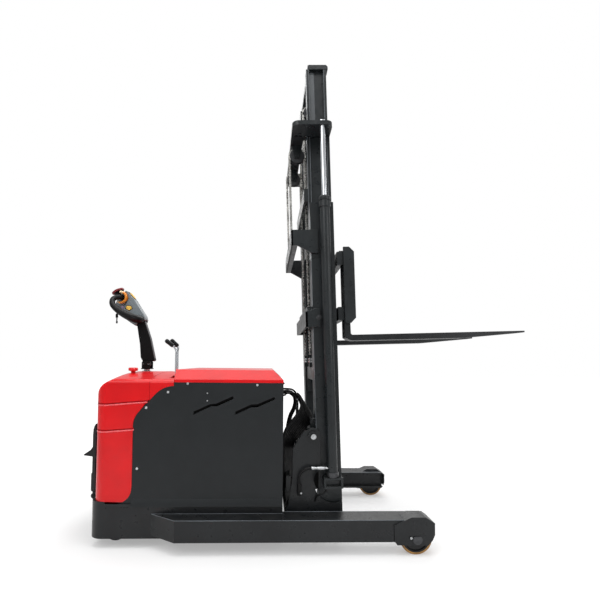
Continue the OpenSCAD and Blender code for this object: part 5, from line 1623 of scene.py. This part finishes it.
@dataclass
class BodyTrim:
    """Screws, slots painted dark as shade, and corners of the side panels, their sill, and light lines
    painted round the legs' tops as highlights.
    """

    side_y: float = -466.0
    cover_screws: tuple[tuple[float, float, float], ...] = (
        (-661, 880, 7.0), (-783, 790, 7.0), (-828, 446, 7.0), (-437, 875, 4.0), (-437, 832, 3.4))
    slots: tuple[tuple[tuple[float, float], ...], ...] = (
        ((-512, 765), (-419, 808), (-384, 811), (-289, 854)),
        ((-275, 765), (-184, 807), (-147, 809), (-50, 851)))
    cover_corner: tuple[float, float, float] = (-856.0, 248.0, 92.0)
    corner_lap: tuple[float, float] = (14.0, 6.0)
    corner_y: tuple[float, float] = (464.5, 467.2)
    lid_screws: tuple[tuple[float, float, float], ...] = ((-550, 928, 6.5), (-151, 923, 6.5))
    sill_x: tuple[float, float, float] = (-1003.0, -856.0, -2.0)
    sill_step: tuple[tuple[float, float], ...] = (
        (-460, 236), (-480.2, 236), (-480.2, 248.5), (-478, 250), (-460, 250))
    sill_slope: tuple[tuple[float, float], ...] = (
        (-460, 236), (-480.3, 236), (-480.3, 241), (-466.6, 276), (-460, 276))
    # A leg's top is a flat face above this height and longer than this
    leg_top: tuple[float, float] = (90.0, 400.0)

    def screws(self, table: Sequence[tuple[float, float, float]]) -> Shape:
        """Countersunk screws on both sides.

        Args:
            table: each screw's x, z and radius.

        Returns:
            All of them.
        """
        return Shape.joined([
            repeated(screw_head(radius, 2.2),
                     spots([(x, self.side_y + 0.4, z)], facing((0, -1, 0))))
            for x, z, radius in table]).both()

    def build(self) -> None:
        """Adds the screws on the panels."""
        add_piece("panel_screws", self.screws(self.cover_screws), STEEL, "chassis")
        add_piece("lid_rim_screws", self.screws(self.lid_screws), STEEL, "chassis")
        # The slots are thin near-black strips painted as shade.
        slots = []
        for line in self.slots:
            path = np.insert(np.array(line, float), 1, self.side_y - 0.2, axis=1)
            slots.append(swept(path, circle(1.0, 10) * (5.4, 0.5), hint=(0, 0, 1)))
        add_piece("panel_slot_shade", Shape.joined(slots).both(), VOID, "chassis")
        x, z, radius = self.cover_corner
        bend = arc((x - radius, z + radius), radius, 360, 270, 16)
        ahead, under = self.corner_lap
        corner = np.vstack([bend, [(x - radius, z - under), (x + ahead, z - under),
                                   (x + ahead, z + radius)]])
        add_piece("panel_corners", prism(corner, *self.corner_y).both(), PANEL, "chassis")
        rear, middle, front = self.sill_x
        sill = [prism(np.array(self.sill_step), rear, middle, "x"),
                prism(np.array(self.sill_slope), middle, front, "x")]
        add_piece("sill_strips", Shape.joined(sill).both(), PANEL, "chassis")
        self.leg_highlights()

    def leg_highlights(self) -> None:
        """Light lines painted round each leg's flat top as highlights."""
        made = []
        for node in ("leg_right", "leg_left"):
            shape = node_in(node, Place.MACHINE)
            starts = np.cumsum(shape.counts) - shape.counts
            faces = [shape.points[shape.corners[a:a + n]] for a, n in zip(starts, shape.counts)]
            height, length = self.leg_top
            flat = [face for face in faces if np.ptp(face[:, 2]) < 0.5 and face[0, 2] > height
                    and np.ptp(face[:, 0]) > length]
            best = max(flat, key=lambda face: face[0, 2])
            made.append(swept(np.vstack([best, best[:1]]), circle(1.5, 8), hint=(0, 0, 1)))
        add_piece("leg_edge_highlights", Shape.joined(made), EDGE_HIGHLIGHT, "chassis")


@dataclass
class ForkBends:
    """Forks whose heels bend round instead of ending in a square corner."""

    heel: tuple[float, float] = (191.0, 561.0)
    radius: float = 74.0
    cuts: int = 12

    def build(self) -> None:
        """Replaces both forks."""
        for node in ("fork_right", "fork_left"):
            made = keep_mesh(f"{node}_finished", self.bent(node).moved(Place.MAST.matrix()),
                             FRAME_PAINT, Edge(1.6))
            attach(made, BODY_OF[node])
            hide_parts(node)

    def bent(self, node: str) -> Shape:
        """A fork, in the mast's frame, with the underside lifted onto an arc at its heel.

        Within a radius of the rear face, a point's least height is the radius less the arc's own
        height there, the square root of the radius squared less the distance squared from the arc's
        centre.

        Args:
            node: the fork's node.

        Returns:
            The fork.
        """
        u0, w0 = self.heel
        radius = self.radius
        steps = [u0 + radius * (1 - math.cos(math.pi / 2 * k / self.cuts))
                 for k in range(1, self.cuts + 1)]
        planes = [((u, 0, 0), (1, 0, 0)) for u in steps] + [((0, 0, w0 + radius), (0, 0, 1))]
        shape = sliced(node_in(node, Place.MAST), planes)
        u, _, w = shape.points.T
        lift = w0 + radius - np.sqrt(np.maximum(radius ** 2 - np.maximum(u0 + radius - u, 0) ** 2,
                                                0))
        moved = shape.points.copy()
        moved[:, 2] = np.where(u < u0 + radius, np.maximum(w, lift), w)
        return sliced(Shape(moved, shape.corners, shape.counts), [])


@dataclass
class Fasteners:
    """Bolts of the mast, its brackets, the head plate and the reach carriage."""

    def build(self) -> None:
        """Adds each group on its own body."""
        side = facing((0, -1, 0))
        middle = Shape.joined([
            repeated(revolved([(0.01, 0), (16, 0), (16, 2.4), (0.01, 2.4)], "z", 32),
                     spots([(56, -395, 704)], side)),
            repeated(screw_head(10, 9), spots([(56, -395, 704)], side))])
        add_piece("bracket_bolts", middle.both(), DARK_STEEL, "outer_mast", Place.MAST)
        screw = repeated(screw_head(6.5, 4), spots([(702, -589, 101)], side))
        add_piece("axle_keeper_screws", screw.both(), STEEL, "chassis")
        studs = repeated(hexagon(13, 10), spots([(18, -178, 436), (18, -178, 452)]))
        add_piece("chain_stud_nuts", studs.both(), STEEL, "inner_mast", Place.MAST)
        disc = revolved([(0.01, 0), (16, 0), (15.4, 1.2), (0.01, 1.6)], "z", 40)
        # A near-black sheet painted as the shade in the plate's opening.
        hole = prism(arc((252, 372), 68, 128, 232, 24), 432, 432.8)
        add_piece("plate_opening_shade", hole.both(), VOID, "reach_carriage")
        add_piece("pivot_discs", repeated(disc, spots([(180, -432, 622)], side)).both(), STEEL,
                  "reach_carriage")


# Studio


@dataclass(frozen=True)
class Photograph:
    """The camera that the photograph was taken with, in pixels, machine millimetres and radians."""

    pixels: int = 600
    focal: float = 423.05
    centre: tuple[float, float] = (282.80, 346.99)
    place: tuple[float, float, float] = (-90.085, -2914.5, 1053.6)
    yaw: float = 0.034159
    pitch: float = 0.037268
    roll: float = 0.009073

    def build(self) -> bpy.types.Object:
        """Sets up the camera.

        The view runs along (sin yaw cos pitch, cos yaw cos pitch, sin pitch), and the roll turns
        the picture about it.

        Returns:
            The camera's object.
        """
        ahead = Vector((math.sin(self.yaw) * math.cos(self.pitch),
                        math.cos(self.yaw) * math.cos(self.pitch), math.sin(self.pitch)))
        level = Vector((math.cos(self.yaw), -math.sin(self.yaw), 0))
        upward = level.cross(ahead)
        right = level * math.cos(self.roll) + upward * math.sin(self.roll)
        up = upward * math.cos(self.roll) - level * math.sin(self.roll)
        data = bpy.data.cameras.new("camera")
        data.sensor_width = 36
        data.lens = self.focal / self.pixels * data.sensor_width
        data.shift_x = (self.pixels / 2 - self.centre[0]) / self.pixels
        data.shift_y = (self.centre[1] - self.pixels / 2) / self.pixels
        data.clip_end = 100
        camera = bpy.data.objects.new("camera", data)
        turn = Matrix((right, up, -ahead)).transposed().to_4x4()
        place = Vector((row_x(self.place[0]), self.place[1] * MM, self.place[2] * MM))
        camera.matrix_world = Matrix.Translation(place) @ turn
        bpy.context.scene.collection.objects.link(camera)
        bpy.context.scene.camera = camera
        return camera


@dataclass(frozen=True)
class Softbox:
    """One square lamp: where it stands, what it looks at, its size and its power."""

    name: str
    place: tuple[float, float, float]
    target: tuple[float, float, float]
    size: float
    power: float

    def build(self) -> None:
        """Adds the lamp."""
        data = bpy.data.lights.new(self.name, "AREA")
        data.size = self.size
        data.energy = self.power
        lamp = bpy.data.objects.new(self.name, data)
        lamp.location = self.place
        look = Vector(self.target) - Vector(self.place)
        lamp.rotation_euler = look.to_track_quat("-Z", "Y").to_euler()
        bpy.context.scene.collection.objects.link(lamp)


@dataclass(frozen=True)
class Studio:
    """Pale floor, white surround and soft lamps."""

    floor_reach: float = 30.0
    floor_colour: Colour = (0.95, 0.95, 0.95)
    surround_strength: float = 0.40
    lamps: tuple[Softbox, ...] = (
        Softbox("key", (-2.6, -4.2, 4.6), (0.0, 0.0, 0.9), 3.2, 95.0),
        Softbox("fill", (3.6, -3.6, 2.6), (0.0, 0.0, 1.0), 3.0, 50.0),
        Softbox("back", (0.8, 4.2, 4.4), (0.0, 0.0, 1.0), 3.5, 110.0),
        Softbox("top", (-0.3, -0.6, 5.2), (-0.3, -0.3, 0.0), 4.2, 210.0),
    )

    def build(self) -> None:
        """Adds the floor, the surround and the lamps, and sets the plain view transform."""
        self.floor()
        self.surround()
        for lamp in self.lamps:
            lamp.build()
        bpy.context.scene.view_settings.view_transform = "Standard"

    def floor(self) -> None:
        """A wide pale floor that keeps the object's shadow."""
        reach = self.floor_reach
        shape = Shape(
            np.array([[-reach, -reach, 0], [reach, -reach, 0], [reach, reach, 0],
                      [-reach, reach, 0]]),
            np.arange(4), np.array([4]))
        material = bpy.data.materials.new("pale_floor")
        material.use_nodes = True
        graph = Graph(material.node_tree)
        shader = graph.tree.nodes["Principled BSDF"]
        shader.inputs["Base Color"].default_value = linear(self.floor_colour)
        shader.inputs["Roughness"].default_value = 1.0
        shader.inputs["Specular IOR Level"].default_value = 0.0
        white = graph.add("ShaderNodeEmission")
        white.inputs["Strength"].default_value = 1.2
        ray = graph.add("ShaderNodeLightPath").outputs["Is Camera Ray"]
        place = graph.add("ShaderNodeTexCoord").outputs["Object"]
        away = graph.add("ShaderNodeVectorMath")
        away.operation = "LENGTH"
        graph.link(place, away.inputs[0])
        far = graph.spread(away.outputs["Value"], 1.4, 2.8, 0.30, 1.0)
        share = graph.times(graph.spread(ray, 0.0, 1.0), far)
        mixed = graph.add("ShaderNodeMixShader")
        graph.link(share, mixed.inputs[0])
        graph.link(shader.outputs[0], mixed.inputs[1])
        graph.link(white.outputs[0], mixed.inputs[2])
        graph.link(mixed.outputs[0], graph.tree.nodes["Material Output"].inputs[0])
        mesh = bpy.data.meshes.new("floor")
        mesh.from_pydata(shape.points.tolist(), [], [[0, 1, 2, 3]])
        mesh.materials.append(material)
        floor = bpy.data.objects.new("floor", mesh)
        bpy.context.scene.collection.objects.link(floor)

    def surround(self) -> None:
        """A world that lights evenly and shows white to the camera and in reflections."""
        world = bpy.data.worlds.new("surround")
        world.use_nodes = True
        graph = Graph(world.node_tree)
        background = graph.tree.nodes["Background"]
        background.inputs["Color"].default_value = (1, 1, 1, 1)
        path = graph.add("ShaderNodeLightPath")
        seen = graph.add("ShaderNodeMath")
        seen.operation = "MAXIMUM"
        graph.link(path.outputs["Is Camera Ray"], seen.inputs[0])
        graph.link(path.outputs["Is Transmission Ray"], seen.inputs[1])
        mirrored = graph.add("ShaderNodeMath")
        mirrored.operation = "MULTIPLY"
        mirrored.inputs[1].default_value = 0.30
        graph.link(path.outputs["Is Glossy Ray"], mirrored.inputs[0])
        most = graph.add("ShaderNodeMath")
        most.operation = "MAXIMUM"
        graph.link(seen.outputs[0], most.inputs[0])
        graph.link(mirrored.outputs[0], most.inputs[1])
        graph.link(graph.spread(most.outputs[0], 0.0, 1.0, self.surround_strength, 1.0),
                   background.inputs["Strength"])
        bpy.context.scene.world = world


def main() -> None:
    """Builds the studio and every sub-assembly in order."""
    logging.basicConfig(level=logging.INFO, format="%(name)s: %(message)s")
    Photograph().build()
    Studio().build()
    for assembly in (PlainNodes(), MastChains(), Tiller(), Levers(), Hoses(), Platform(),
                     MastBrackets(), Cover(), CylinderFittings(), StopButton(), BodyTrim(),
                     ForkBends(), Fasteners()):
        assembly.build()
        LOG.info("%s done", type(assembly).__name__)


if __name__ == "__main__":
    main()
